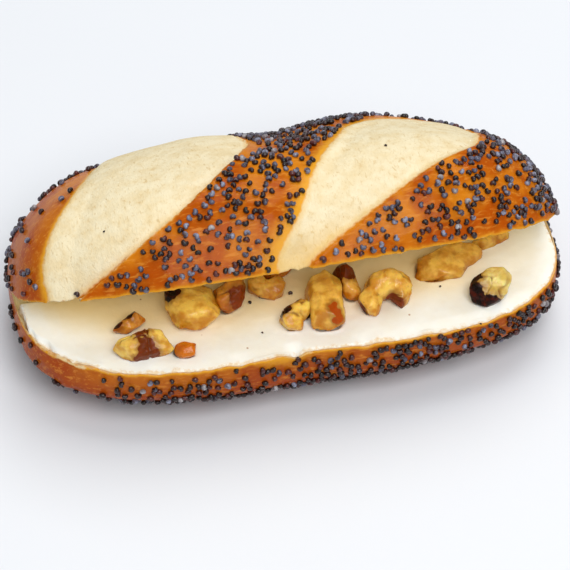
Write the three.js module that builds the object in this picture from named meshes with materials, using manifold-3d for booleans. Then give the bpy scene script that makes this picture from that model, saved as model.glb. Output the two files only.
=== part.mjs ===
// A long poppy-seed roll, sliced open from the front and held open like a mouth.
// The lower half carries a layer of white spread with pieces of walnut pressed into it.
//
// Millimetres, +X along the roll, +Y away from the open side, +Z up, the base on Z = 0.

import * as THREE from 'three'
import { mergeVertices } from 'three/addons/utils/BufferGeometryUtils.js'
import Module from 'manifold-3d'

const wasm = await Module()
wasm.setup()

// Outer form of the closed roll, measured from the level where it is widest.
const HALF_LENGTH = 55.4
const HALF_WIDTH = 30.3
const DOME = 28.9
const BELLY = 11.2
const BASE = 10.0 // the flat base lies this far below the widest level
const LEFT_BLUNT = 2.95 // exponents of the outline seen from above
const RIGHT_BLUNT = 3.4
const DOME_ROUND = 2.8 // exponents of the section, above and below
const BELLY_ROUND = 2.0
const TAPER = 0.02 // the right end is wider by this share
const SWAY = -0.9 // the ends bend forward by about this much
const SWAY_STILL = 0.4 // the share of the way out, squared, that stays in place
const DOME_SLOPE = -0.05 // the left end is the taller one
const CROWN = [
  { rise: 1.1, at: 0.65, reach: 0.3 }, // the crown is fuller towards the right end
  { rise: -1.6, at: 0.04, reach: 0.18 }, // and sags in the middle, between the two slashes
]

// The slice: a level cut from the front to a hinge line, and the upper jaw turned back.
const CUT = 5.7
const HINGE = 0.5
const OPEN = THREE.MathUtils.degToRad(36)
const FOLD_START = -30 // the back of the crust folds between these two angles
const FOLD_END = 60
const FOLD_PEAK = 15
const FOLD_BULGE = 1.2
const BASE_ROUND = 1 // the crust rounds into the base over this length
const MIDDLE = 0.51 // the middle of the whole, across the roll: the origin is moved there

// The lower cut face is a shallow dish inside a narrow rim, the upper one is hollowed a little.
const DISH = 1.6
const RIM = 1.5
const UPPER_HOLLOW = 0.7
const DISH_ENDS = [3, 13] // the dish fades out where the face is this deep or less

// Two slashes across the top. Each edge is x at an angle round the roll:
// 180 is the front rim, 90 the top. The soft edge melts into the crust, the ear stands up.
const SLASHES = [
  {
    depth: 1.8,
    soft: [[196, -50], [180, -50], [160, -50], [140, -47], [120, -41], [100, -34], [90, -27], [82, -11]],
    ear: [[196, -50], [180, -44.6], [165, -34.5], [150, -22], [130, -10.4], [110, -5], [95, -5], [82, -11]],
  },
  {
    depth: 1.1,
    soft: [[193, -3], [177, -6.4], [160, -0.5], [140, 5.2], [115, 13], [96, 17.6], [84, 25], [74, 39]],
    ear: [[193, -3], [178, 0.4], [165, 12], [150, 26.8], [140, 37], [130, 40.5], [95, 43.5], [74, 39]],
  },
]
const ROUND = 27 // mean distance of the crust from the hinge line, for lengths along it
const SOFT_REACH = 4
const EAR_REACH = 1.5
const EAR_LEAN = 0.3 // the wall of the ear starts this far outside its edge
const EAR_RISE = 0.7
const EAR_WIDTH = 3
const BAND_RISE = 0.5
const BAND_REACH = 6
const UNEVEN = 0.35 // slow unevenness of the crust
const UNEVEN_LENGTH = 26
const PLAIN_ENDS = [0.1, 0.5] // the relief fades out towards the tips, between these cosines of the lean

// Mesh density.
const COLUMNS = 44
const COLUMN_CROWDING = 0.9 // below 1 the columns crowd towards the tips
const CRUST_ROWS = 40
const LOWER_FACE = [0, 1, 0.3, 0.6, 0.88] // rim, foot of the rim, then shares of the way to the hinge
const UPPER_FACE = [0.88, 0.6, 0.3]

// Poppy seeds that are large enough to hold as solids: the others are finer than the mesh.
const SEED = { long: 1.5, wide: 1.2, high: 1.1, proud: 0.75, sides: 5, bands: 3 }
const SEED_COUNT = 160
const SEED_SPACING = 5.2
const SEED_DRAW = 20417
const SEED_TRIES = 9000
const SEED_ENDS = 0.98 // they stop at this share of the half length
const SEED_CLEAR_OF_SLASH = -1.2
const SEED_CLEAR_OF_RIM = 5 // degrees
const SEED_LOWEST = 2.2

// The white spread.
const SPREAD = {
  inset: 1.7, // from the rim
  tip: 86, // degrees towards the end of the roll where its front and back edges meet
  back: 4, // it stops this far in front of the hinge
  foot: 1.2, // its underside is smaller by this much
  top: 0.35, // it stands this much above the cut
  lip: 0.5, // its edge lies this much lower
  wave: 0.3,
  waveLength: 13,
  gap: 0.3,
  columns: 26,
  rows: [0, 0.08, 0.36, 0.64, 0.93, 1],
}

// Walnut pieces on the spread: the place of the middle, a turn about Z in degrees, and rounded
// lobes. A lobe is [x, y, z, half length, half depth, half height] from that place and the spread.
const NUTS = {
  walnut_split: {
    at: [-32.7, -22.3],
    turn: -4,
    lobes: [[-2.6, 0, 1.4, 3.1, 2.4, 2.3], [0, 0.2, 1.9, 3, 2.7, 2.6], [2.7, 0, 1.4, 3, 2.2, 2]],
  },
  walnut_chip_left: {
    at: [-34.2, -15.4],
    turn: 18,
    lobes: [[-0.6, 0, 1, 3, 1.3, 1.3], [1, 0.5, 1.3, 2.2, 1.2, 1.5]],
  },
  walnut_amber: { at: [-25.1, -24.5], turn: -14, lobes: [[0, 0, 0.9, 2.2, 1.7, 1.5]] },
  walnut_block: {
    at: [-21.8, -14.1],
    turn: 5,
    lobes: [[0.3, 0, 2, 4.7, 4.6, 3.1], [-3, 2.2, 3.4, 2, 1.8, 1.5]],
  },
  walnut_brown: {
    at: [-13.6, -12.8],
    turn: 2,
    lobes: [[-1.4, -0.6, 1.4, 1.7, 3, 2.3], [0.8, 0.2, 2.3, 2, 3.3, 3.1]],
  },
  walnut_bent: {
    at: [-5.9, -12.2],
    turn: -22,
    lobes: [[-2.2, 1.1, 1.4, 2.1, 2, 2.1], [0, -0.4, 1.2, 2.2, 1.7, 1.7], [2, 0.2, 1.4, 2, 2, 2]],
  },
  walnut_under_rim: { at: [-3, -6.8], turn: 6, lobes: [[0, 0, 0.9, 4, 1.8, 1.6]] },
  walnut_corner: {
    at: [-1.9, -20.9],
    turn: 12,
    lobes: [[-1.4, -0.7, 1.5, 1.9, 2.3, 2.3], [0.9, 0.8, 1.8, 2.2, 2.1, 2.3]],
  },
  walnut_tall: {
    at: [4.4, -18.8],
    turn: -6,
    lobes: [[0, 2.6, 2, 3, 4.2, 3.1], [0.3, -2.9, 1.6, 2.9, 3.4, 2.8]],
  },
  walnut_dark_top: {
    at: [9.9, -14.2],
    turn: 4,
    lobes: [[-0.1, 1, 2.6, 1.7, 2.9, 3.7], [0.3, -2.2, 1.1, 1.8, 2.6, 2.1]],
  },
  walnut_arch: {
    at: [16.3, -19.2],
    turn: -6,
    lobes: [[-3, -1.8, 1.6, 2, 3.2, 2.6], [0.2, 1.5, 2.7, 3, 3.2, 3.3], [3.6, 0.1, 1.7, 1.9, 3, 2.6]],
  },
  walnut_flat: {
    at: [31, -13],
    turn: 9,
    lobes: [[-1.9, -0.3, 1, 5.1, 4.1, 2], [4.3, 0.6, 1.2, 3.4, 2.5, 1.9]],
  },
  walnut_back_right: {
    at: [41.7, -8.9],
    turn: 14,
    lobes: [[-1.3, 0, 0.8, 2.7, 1.6, 1.5], [2, 0.2, 0.7, 2.4, 1.3, 1.3]],
  },
  walnut_half_dark: {
    at: [37.6, -22.3],
    turn: -30,
    lobes: [[0.3, 1, 1.9, 3.5, 2.7, 2.9], [-0.8, -1.6, 1.3, 3, 2.2, 2.2]],
  },
}
const NUT_SUNK = 0.5 // how far a piece sits in the spread
const NUT_AROUND = 12
const NUT_DOWN = 7
const NUT_LUMP = 0.12
const NUT_LUMP_LENGTH = 4.2
const NUT_SIZE = 3 // mean radius, for the lumps
const NUT_MELT = 2 // the higher, the sharper the valley between two lobes

const material = (color, roughness) => new THREE.MeshStandardMaterial({ color, roughness, metalness: 0 })
const crustBrown = material('#b8631f', 0.4)
const spreadWhite = material('#f4edda', 0.5)
const walnutGold = material('#c99b45', 0.5)

// Maths helpers.

const radians = THREE.MathUtils.degToRad
const degrees = THREE.MathUtils.radToDeg
const smoothstep = (value, from, to) => THREE.MathUtils.smoothstep(value, from, to)

// Slow, smooth unevenness between about -1 and 1: three crossed sine waves, `length` long.
function waves(x, y, z, length) {
  const k = (2 * Math.PI) / length
  const a = Math.sin(k * (0.9 * x + 0.35 * y + 0.2 * z) + 0.7)
  const b = Math.sin(k * (-0.45 * x + 0.8 * y + 0.5 * z) + 2.1)
  const c = Math.sin(k * (0.3 * x - 0.6 * y + 0.85 * z) + 4.4)
  return (a + b + c) / 2.2
}

// A smooth curve through [at, value] pairs whose `at` runs downwards, with its slope.
function through(pairs, at) {
  const last = pairs.length - 1
  const clamped = Math.min(pairs[0][0], Math.max(pairs[last][0], at))
  let i = 0
  while (i < last - 1 && clamped < pairs[i + 1][0]) i += 1
  const tangent = (k) => {
    const before = pairs[Math.max(k - 1, 0)]
    const after = pairs[Math.min(k + 1, last)]
    return (after[1] - before[1]) / (after[0] - before[0])
  }
  const [a, b] = [pairs[i], pairs[i + 1]]
  const span = b[0] - a[0]
  const t = (clamped - a[0]) / span
  const [ma, mb] = [tangent(i) * span, tangent(i + 1) * span]
  const value =
    a[1] * (2 * t ** 3 - 3 * t ** 2 + 1) +
    ma * (t ** 3 - 2 * t ** 2 + t) +
    b[1] * (3 * t ** 2 - 2 * t ** 3) +
    mb * (t ** 3 - t ** 2)
  const rise =
    (b[1] - a[1]) * (6 * t - 6 * t ** 2) +
    ma * (3 * t ** 2 - 4 * t + 1) +
    mb * (3 * t ** 2 - 2 * t)
  return { value, slope: rise / span }
}

// A repeatable stream of numbers from 0 to 1.
function draws(seed) {
  let state = seed
  return () => {
    state = (state * 1664525 + 1013904223) % 4294967296
    return state / 4294967296
  }
}

// The closed roll. A point is found from the hinge line's middle by a direction: `lean` turns it
// towards an end of the roll, `around` turns it round the roll.

function direction(lean, around) {
  const across = Math.cos(lean)
  return new THREE.Vector3(Math.sin(lean), across * Math.cos(around), across * Math.sin(around))
}

// The lean of a column at a share of the half length: columns so placed are evenly spaced along X.
function columnLean(share) {
  return Math.atan2(share * HALF_LENGTH, Math.sqrt(1 - share * share) * HALF_WIDTH * COLUMN_CROWDING)
}

// Below 1 inside the roll, 1 on its crust: a superellipse in plan, and another one in section.
function level(x, y, z) {
  const t = x / HALF_LENGTH
  const across = (y - SWAY * (t * t - SWAY_STILL)) / (1 + TAPER * t)
  const blunt = x < 0 ? LEFT_BLUNT : RIGHT_BLUNT
  const plan = Math.abs(t) ** blunt + Math.abs(across / HALF_WIDTH) ** blunt
  const round = z > 0 ? DOME_ROUND : BELLY_ROUND
  const crown = CROWN.map(({ rise, at, reach }) => rise * Math.exp(-(((t - at) / reach) ** 2)))
  const height = z > 0 ? DOME * (1 + DOME_SLOPE * t) + crown[0] + crown[1] : BELLY
  return plan ** (round / blunt) + Math.abs(z / height) ** round
}

function crustDistance(ray) {
  let near = 0
  let far = 2 * HALF_LENGTH
  for (let step = 0; step < 40; step += 1) {
    const middle = (near + far) / 2
    if (level(ray.x * middle, HINGE + ray.y * middle, CUT + ray.z * middle) < 1) near = middle
    else far = middle
  }
  return near
}

// How far a crust point lies inside each slash, in millimetres: from its soft edge and its ear.
function slashDepths(x, angle) {
  return SLASHES.map(({ soft, ear, depth }) => {
    const perDegree = radians(1) * ROUND
    const toEdge = (edge, side) => {
      const { value, slope } = through(edge, angle)
      return (side * (x - value)) / Math.hypot(1, slope / perDegree)
    }
    const tip = Math.min(soft[0][0] - angle, angle - soft[soft.length - 1][0]) * perDegree
    return { fromSoft: Math.min(toEdge(soft, 1), tip), fromEar: Math.min(toEdge(ear, -1), tip), depth }
  })
}

// What is added to the crust's distance: slashes sunk, their ears and the bands between raised.
function relief(x, angle) {
  let height = BAND_RISE
  for (const { fromSoft, fromEar, depth } of slashDepths(x, angle)) {
    const inside = Math.min(fromSoft, fromEar)
    height -= BAND_RISE * smoothstep(inside, -BAND_REACH, 0)
    height -= depth * smoothstep(fromSoft, 0, SOFT_REACH) * smoothstep(fromEar, -EAR_LEAN, EAR_REACH)
    const lip = fromEar < 0 ? smoothstep(fromSoft, 0, SOFT_REACH) : 0
    height += EAR_RISE * Math.exp(fromEar / EAR_WIDTH) * lip
  }
  return height
}

// The angle round the roll once the upper jaw is turned back.
function openedAngle(angle) {
  return radians(angle) - OPEN * smoothstep(angle, FOLD_START, FOLD_END)
}

// A point of the crust of the opened roll. `angle` runs from -180, the rim of the lower jaw, past
// -90, the base, 0, the back, and 90, the top, to 180, the rim of the upper jaw.
function crustPoint(lean, angle) {
  const closedRay = direction(lean, radians(angle))
  const plain = crustDistance(closedRay)
  const x = plain * closedRay.x
  const height = relief(x, angle < -90 ? angle + 360 : angle)
  const folding = smoothstep(angle, FOLD_START, FOLD_PEAK) * smoothstep(-angle, -FOLD_END, -FOLD_PEAK)
  const ray = direction(lean, openedAngle(angle))
  const at = (distance) => ray.clone().multiplyScalar(distance).add(new THREE.Vector3(0, HINGE, CUT + BASE))
  const rough = at(plain)
  const ends = smoothstep(Math.cos(lean), ...PLAIN_ENDS)
  const uneven = UNEVEN * waves(rough.x, rough.y, rough.z, UNEVEN_LENGTH)
  let distance = plain + (height + uneven + FOLD_BULGE * folding) * ends
  if (ray.z < 0) {
    const toBase = (CUT + BASE) / -ray.z
    distance = softMinimum(distance, toBase, BASE_ROUND)
  }
  return at(distance)
}

// The smaller of two lengths, with the corner between them rounded over `reach`.
function softMinimum(a, b, reach) {
  const h = Math.max(reach - Math.abs(a - b), 0) / reach
  return Math.min(a, b) - (h * h * reach) / 4
}

// Meshes.

// A closed mesh from rings of points: rings[i][j], each ring a closed loop, with a point at each end.
function closedMesh(start, rings, end) {
  const around = rings[0].length
  const points = [start, ...rings.flat(), end]
  const faces = []
  const index = (i, j) => 1 + i * around + (j % around)
  for (let j = 0; j < around; j += 1) {
    faces.push(0, index(0, j), index(0, j + 1))
    for (let i = 0; i < rings.length - 1; i += 1) {
      const corners = [index(i, j), index(i + 1, j), index(i + 1, j + 1), index(i, j + 1)]
      faces.push(corners[0], corners[1], corners[2], corners[0], corners[2], corners[3])
    }
    faces.push(points.length - 1, index(rings.length - 1, j + 1), index(rings.length - 1, j))
  }
  const geometry = new THREE.BufferGeometry()
  geometry.setAttribute('position', new THREE.Float32BufferAttribute(points.flatMap((p) => p.toArray()), 3))
  geometry.setIndex(faces)
  return geometry
}

function toSolid(geometry) {
  const bare = geometry.clone()
  bare.deleteAttribute('normal')
  bare.deleteAttribute('uv')
  const merged = mergeVertices(bare, 1e-5)
  const vertProperties = new Float32Array(merged.attributes.position.array)
  const triVerts = new Uint32Array(merged.index.array)
  return new wasm.Manifold(new wasm.Mesh({ numProp: 3, vertProperties, triVerts }))
}

function toGeometry(solid) {
  const mesh = solid.getMesh()
  const geometry = new THREE.BufferGeometry()
  geometry.setAttribute('position', new THREE.BufferAttribute(new Float32Array(mesh.vertProperties), 3))
  geometry.setIndex(new THREE.BufferAttribute(new Uint32Array(mesh.triVerts), 1))
  geometry.computeVertexNormals()
  return geometry
}

// The angles of the crust's rows, evenly spaced along the middle section.
function crustAngles() {
  const fine = []
  for (let angle = -180; angle <= 180; angle += 1) fine.push({ angle, point: crustPoint(0, angle) })
  const lengths = [0]
  for (let k = 1; k < fine.length; k += 1) {
    lengths.push(lengths[k - 1] + fine[k].point.distanceTo(fine[k - 1].point))
  }
  const total = lengths[lengths.length - 1]
  return Array.from({ length: CRUST_ROWS + 1 }, (_, row) => {
    const wanted = (row / CRUST_ROWS) * total
    const k = Math.max(1, lengths.findIndex((length) => length >= wanted - 1e-9))
    const share = (wanted - lengths[k - 1]) / (lengths[k] - lengths[k - 1])
    return fine[k - 1].angle + share
  })
}

// One loop round the roll: out along the lower face, round the crust, back along the upper face.
function rollRing(lean, angles) {
  const lowerRim = crustPoint(lean, -180)
  const upperRim = crustPoint(lean, 180)
  const hinge = new THREE.Vector3((lowerRim.x + upperRim.x) / 2, HINGE, CUT + BASE)
  const depth = lowerRim.distanceTo(hinge)
  const strength = smoothstep(depth, ...DISH_ENDS)
  const rimShare = Math.min(RIM / depth, 0.3)
  const lower = LOWER_FACE.map((stop) => {
    if (stop === 0) return lowerRim
    const share = stop === 1 ? rimShare : rimShare + (1 - rimShare) * stop
    const point = lowerRim.clone().lerp(hinge, share)
    point.z -= DISH * strength
    return point
  })
  const inwards = direction(0, openedAngle(180) + Math.PI / 2)
  const upper = UPPER_FACE.map((stop) => {
    const point = upperRim.clone().lerp(hinge, 1 - stop)
    return point.addScaledVector(inwards, -UPPER_HOLLOW * strength * Math.sin(Math.PI * stop))
  })
  const crust = angles.slice(1, -1).map((angle) => crustPoint(lean, angle))
  return [hinge, ...lower.reverse(), ...crust, upperRim, ...upper.reverse()].reverse()
}

function bareRoll() {
  const angles = crustAngles()
  const rings = []
  for (let column = 1; column < COLUMNS; column += 1) {
    const share = (2 * column) / COLUMNS - 1
    rings.push(rollRing(columnLean(share), angles))
  }
  const tip = (side) => crustPoint((side * Math.PI) / 2, -180)
  return closedMesh(tip(-1), rings, tip(1))
}

// Poppy seeds, spread evenly over the brown crust.

function crustNormal(lean, angle) {
  const step = 0.02
  const along = crustPoint(lean + step, angle).sub(crustPoint(lean - step, angle))
  const round = crustPoint(lean, angle + degrees(step)).sub(crustPoint(lean, angle - degrees(step)))
  return along.cross(round).normalize()
}

function seedPlaces() {
  const draw = draws(SEED_DRAW)
  const places = []
  for (let tries = 0; tries < SEED_TRIES && places.length < SEED_COUNT; tries += 1) {
    const share = SEED_ENDS * (2 * draw() - 1)
    const angle = (2 * draw() - 1) * (180 - SEED_CLEAR_OF_RIM)
    const spin = 2 * Math.PI * draw()
    const lean = columnLean(share)
    const point = crustPoint(lean, angle)
    const inSlash = slashDepths(point.x, angle < -90 ? angle + 360 : angle).some(
      ({ fromSoft, fromEar }) => Math.min(fromSoft, fromEar) > SEED_CLEAR_OF_SLASH,
    )
    const tooClose = places.some((place) => place.point.distanceTo(point) < SEED_SPACING)
    if (point.z < SEED_LOWEST || inSlash || tooClose) continue
    places.push({ point, normal: crustNormal(lean, angle), spin })
  }
  return places
}

function seedSolid({ point, normal, spin }) {
  const seed = new THREE.SphereGeometry(0.5, SEED.sides, SEED.bands)
  seed.rotateX(Math.PI / 2)
  seed.scale(SEED.long, SEED.wide, SEED.high)
  const up = new THREE.Vector3(0, 0, 1)
  const turn = new THREE.Quaternion().setFromUnitVectors(up, normal)
  turn.multiply(new THREE.Quaternion().setFromAxisAngle(up, spin))
  seed.applyQuaternion(turn)
  const middle = point.clone().addScaledVector(normal, SEED.proud - SEED.high / 2)
  seed.translate(middle.x, middle.y, middle.z)
  return toSolid(seed)
}

function seededRoll() {
  return seedPlaces().reduce((roll, place) => roll.add(seedSolid(place)), toSolid(bareRoll()))
}

// Walnut pieces: lobes that run together, found from the piece's middle along each direction.

function nutSurface(lobes, offset) {
  const middle = new THREE.Vector3()
  for (const [x, y, z] of lobes) middle.add(new THREE.Vector3(x, y, z).divideScalar(lobes.length))
  const extent = (axis) => Math.max(...lobes.map((lobe) => Math.abs(lobe[axis]) + lobe[axis + 3]))
  const reach = new THREE.Vector3(extent(0), extent(1), extent(2))
  const inside = (p) => {
    const pull = lobes.reduce((sum, [x, y, z, a, b, c]) => {
      const [u, v, w] = [(p.x - x) / (a + offset), (p.y - y) / (b + offset), (p.z - z) / (c + offset)]
      return sum + Math.exp(NUT_MELT * (1 - u * u - v * v - w * w))
    }, 0)
    return pull > 1
  }
  return (towards) => {
    const ray = towards.clone().multiply(reach).normalize()
    let near = 0
    let far = 4 * NUT_SIZE
    for (let step = 0; step < 30; step += 1) {
      const distance = (near + far) / 2
      if (inside(ray.clone().multiplyScalar(distance).add(middle))) near = distance
      else far = distance
    }
    const spot = ray.clone().multiplyScalar(NUT_SIZE)
    const lump = 1 + NUT_LUMP * waves(spot.x + lobes[0][3], spot.y, spot.z, NUT_LUMP_LENGTH)
    return ray.clone().multiplyScalar(near * lump + offset / 5).add(middle)
  }
}

function nutGeometry({ at, turn, lobes }, offset = 0) {
  const surface = nutSurface(lobes, offset)
  const ray = (down, round) =>
    new THREE.Vector3(Math.sin(down) * Math.cos(round), Math.sin(down) * Math.sin(round), Math.cos(down))
  const rings = []
  for (let i = 1; i < NUT_DOWN; i += 1) {
    const down = (Math.PI * i) / NUT_DOWN
    const onRing = (_, j) => surface(ray(down, (2 * Math.PI * j) / NUT_AROUND))
    rings.push(Array.from({ length: NUT_AROUND }, onRing))
  }
  const geometry = closedMesh(surface(ray(0, 0)), rings, surface(ray(Math.PI, 0)))
  const position = geometry.attributes.position
  const lowest = -NUT_SUNK - offset
  for (let k = 0; k < position.count; k += 1) position.setZ(k, Math.max(position.getZ(k), lowest))
  geometry.rotateZ(radians(turn))
  geometry.translate(at[0], at[1], CUT + BASE + SPREAD.top)
  return geometry
}

// The spread: a layer over the dish, cut round the walnut pieces.

function spreadRing(lean) {
  const rim = crustPoint(lean, -180)
  const { x, y: front } = rim.clone().addScaledVector(direction(lean, Math.PI), -SPREAD.inset)
  const back = HINGE - SPREAD.back
  const depth = back - front
  const floor = CUT + BASE - DISH + SPREAD.gap
  const top = SPREAD.rows.map((share) => {
    const y = front + depth * share
    const edge = share === 0 || share === 1
    const wave = SPREAD.wave * waves(x, y, 0, SPREAD.waveLength)
    const height = edge ? SPREAD.top - SPREAD.lip : SPREAD.top + wave
    return new THREE.Vector3(x, y, CUT + BASE + height)
  })
  const foot = Math.min(SPREAD.foot, depth / 4)
  const under = [back - foot / 2, (front + back) / 2, front + foot]
  return [...top, ...under.map((y) => new THREE.Vector3(x, y, floor))]
}

function spreadGeometry() {
  const rings = []
  for (let column = 1; column < SPREAD.columns; column += 1) {
    const share = Math.sin(radians(SPREAD.tip)) * ((2 * column) / SPREAD.columns - 1)
    rings.push(spreadRing(columnLean(share)))
  }
  const tip = (side) => {
    const rim = crustPoint(side * radians(SPREAD.tip), -180)
    return new THREE.Vector3(rim.x - side * SPREAD.inset, HINGE - SPREAD.back, CUT + BASE - SPREAD.lip)
  }
  return closedMesh(tip(-1), rings, tip(1))
}

function cutSpread() {
  return Object.values(NUTS).reduce(
    (spread, nut) => spread.subtract(toSolid(nutGeometry(nut, SPREAD.gap))),
    toSolid(spreadGeometry()),
  )
}

// The whole roll.

const group = new THREE.Group()

function addMesh(name, geometry, look) {
  const mesh = new THREE.Mesh(geometry.translate(0, -MIDDLE, 0), look)
  mesh.name = name
  group.add(mesh)
}

addMesh('roll', toGeometry(seededRoll()), crustBrown)
addMesh('spread', toGeometry(cutSpread()), spreadWhite)
for (const [name, nut] of Object.entries(NUTS)) addMesh(name, nutGeometry(nut), walnutGold)

export default group
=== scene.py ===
# %% [markdown]
# # A poppy-seed roll, cut open and filled
# The real thing is a long glazed roll, thick with poppy seeds, with two pale slashes across its top.
# It is cut open from the front and carries white spread with pieces of walnut. The plain solids
# come from the frame; this lesson replaces each one by a finer surface of the same form.

import math

import bpy
import numpy as np
from mathutils import Matrix


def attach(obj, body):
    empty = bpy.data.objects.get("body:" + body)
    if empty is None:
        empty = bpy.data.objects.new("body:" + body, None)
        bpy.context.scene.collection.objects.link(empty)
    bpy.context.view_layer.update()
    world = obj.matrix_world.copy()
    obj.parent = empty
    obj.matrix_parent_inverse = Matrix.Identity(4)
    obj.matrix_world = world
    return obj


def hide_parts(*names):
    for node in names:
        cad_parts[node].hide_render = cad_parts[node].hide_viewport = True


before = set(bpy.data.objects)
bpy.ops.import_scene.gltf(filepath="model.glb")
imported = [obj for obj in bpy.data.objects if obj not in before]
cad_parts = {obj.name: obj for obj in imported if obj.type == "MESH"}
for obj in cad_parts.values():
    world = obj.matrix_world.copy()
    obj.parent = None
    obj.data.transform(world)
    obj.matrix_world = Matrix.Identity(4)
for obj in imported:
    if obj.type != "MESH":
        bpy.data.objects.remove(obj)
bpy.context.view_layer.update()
print("plain solids:", sorted(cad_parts))

# %% [markdown]
# ## Named sizes
# The finer surfaces must lie where the plain solids lie, so they are worked out from the same sizes.
# A copy of the solid with displaced vertices would be quicker, but its triangles are too large to
# carry a crisp slash, and a formula gives as many points as the render needs. Lengths are millimetres.

# %% Sizes of the roll
HALF_LENGTH = 55.4
HALF_WIDTH = 30.3
DOME = 28.9
BELLY = 11.2
BASE = 10.0
MIDDLE = 0.51
LEFT_BLUNT = 2.95
RIGHT_BLUNT = 3.4
DOME_ROUND = 2.8
BELLY_ROUND = 2.0
TAPER = 0.02
SWAY = -0.9
SWAY_STILL = 0.4
DOME_SLOPE = -0.05
CROWN = [(1.1, 0.65, 0.3), (-1.6, 0.04, 0.18)]  # rise, place and reach, along the roll

CUT = 5.7
HINGE = 0.5
OPEN = math.radians(36)
FOLD_START, FOLD_PEAK, FOLD_END = -30, 15, 60
FOLD_BULGE = 1.2
BASE_ROUND = 1.0
DISH = 1.6
DISH_ENDS = (3, 13)
UPPER_HOLLOW = 0.7
CUT_LEVEL = CUT + BASE

# %% [markdown]
# ## The slashes
# A baker draws a blade across the dough: one side melts into the crust, the other lifts as an ear.
# Each edge is one curve, x against the angle round the roll, where 180 is the front rim and 90 the
# top. Two curves and a depth say more about a slash than a painted mask would, and every later
# step, relief, colour and seeds alike, can ask how far a point lies from them.

# %% Slashes and relief sizes
SLASHES = [  # depth and tail in mm, fades in degrees, swell as a share of the depth
    {
        "depth": 1.8,
        "tail": 0.4,
        "fades": (80, 142),
        "swell": -0.6,
        "soft": [
            (196, -50), (180, -50), (160, -50), (140, -47), (120, -42),
            (104, -38.5), (90, -36.5), (70, -34), (42, -27),
        ],
        "ear": [
            (196, -50), (180, -44.6), (165, -34.5), (150, -22), (130, -10.4),
            (110, -5), (90, -4.6), (74, -5.5), (56, -12), (42, -22),
        ],
    },
    {
        "depth": 1.1,
        "tail": 0.2,
        "fades": (70, 120),
        "swell": -0.3,
        "soft": [
            (193, -3), (177, -6.4), (160, -0.5), (140, 5.2), (115, 13),
            (98, 16.5), (84, 22.5), (74, 30), (66, 40),
        ],
        "ear": [
            (193, -3), (178, 0.4), (165, 12), (150, 26.8),
            (140, 37), (130, 40.5), (95, 43.5), (66, 42),
        ],
    },
]
ROUND = 27
PER_DEGREE = math.radians(1) * ROUND
SOFT_REACH = 4
EAR_LEAN, EAR_REACH, EAR_RISE, EAR_WIDTH = 0.3, 0.9, 0.7, 3
BAND_RISE, BAND_REACH = 0.5, 6
UNEVEN, UNEVEN_LENGTH = 0.35, 26
PLAIN_ENDS = (0.1, 0.5)
LEAN_WIDTH = 0.9
SOFT_CRUMB = 1.5  # inside a slash, the crust turns to crumb within this many millimetres
GRAINS = {  # layers of height and length in mm, the number that draws them, and perhaps a squeeze
    "slash edge": [(0.45, 5.0, 1), (0.3, 1.9, 2)],
    "crumb": [(0.22, 6.5, 3), (0.1, 2.2, 4)],
    "glaze": [(0.1, 3.6, 5), (0.03, 0.9, 6, (0.4, 1, 1))],
    "knobs": [(0.4, 2.1, 7)],
    "lower face": [(0.12, 1.1, 11)],
    "torn face": [(0.3, 1.5, 14)],
    "upper face": [(0.3, 2.6, 12), (0.2, 1.1, 13)],
    "seed clusters": [(0.8, 4.5, 21), (0.3, 9.0, 22)],
    "skin edge": [(0.45, 1.5, 44), (0.25, 0.6, 45)],
    "spread top": [(0.1, 4.2, 51, (0.5, 1, 1)), (0.05, 1.6, 52)],
    "spread edge": [(0.15, 3.4, 53), (0.12, 1.1, 54)],
    "torn spread": [(0.5, 1.4, 55)],
    "kernel": [(0.2, 1.7, 41)],
}
KNOBBLY_END = (36, 46)  # the left end's lower crust turns knobbly between these, from the middle
TORN_END = (36, 48)  # and the cut is torn there, not sliced

# %% [markdown]
# ## Small sums that every surface uses
# Bread has no straight line in it. Two kinds of unevenness serve for all of it: slow crossed waves,
# which the solids have too, and a finer grain of random heights on a lattice. Both are plain
# functions of a place, so neighbouring pieces agree wherever they meet.


# %% Waves, grain and curves
def smoothstep(value, low, high):
    """0 below low, 1 above high, and an S-shaped cubic between them."""
    t = np.clip((value - low) / (high - low), 0, 1)
    return t * t * (3 - 2 * t)


def bell(value, middle, width):
    """exp(-((value - middle) / width)^2): 1 at the middle and nearly 0 two widths from it."""
    return np.exp(-(((value - middle) / width) ** 2))


def window(value, rise, full, fall, end):
    """0 below rise, 1 from full to fall, 0 above end, and an S-shaped cubic on each side."""
    return smoothstep(value, rise, full) * smoothstep(-value, -end, -fall)


def waves(x, y, z, length):
    """The sum of three sine waves that cross each other, each about `length` long, over 2.2."""
    k = 2 * math.pi / length
    a = np.sin(k * (0.9 * x + 0.35 * y + 0.2 * z) + 0.7)
    b = np.sin(k * (-0.45 * x + 0.8 * y + 0.5 * z) + 2.1)
    c = np.sin(k * (0.3 * x - 0.6 * y + 0.85 * z) + 4.4)
    return (a + b + c) / 2.2


def grain(points, length, draw=0):
    """Heights from -1 to 1, drawn by hashing the corners of a cubic lattice with cells `length`
    wide, and blended smoothly between the eight corners round each point."""
    scaled = np.asarray(points, float) / length
    cell = np.floor(scaled).astype(np.int64)
    part = smoothstep(scaled - cell, 0, 1)
    total = 0
    for corner in np.ndindex(2, 2, 2):
        at = (cell + corner) * (73856093, 19349663, 83492791)
        mixed = at[..., 0] ^ at[..., 1] ^ at[..., 2] ^ (draw * 2654435761 + 97)
        mixed = ((mixed ^ (mixed >> 13)) * 1274126177) & 0xFFFFFFFF
        height = ((mixed ^ (mixed >> 15)) & 0xFFFF) / 32767.5 - 1
        weight = np.prod(np.where(corner, part, 1 - part), axis=-1)
        total = total + weight * height
    return total


def grained(start, points, name):
    """start + the sum of height x grain over the layers of that name."""
    for height, length, draw, *squeeze in GRAINS[name]:
        spot = points * squeeze[0] if squeeze else points
        start = start + height * grain(spot, length, draw)
    return start


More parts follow.
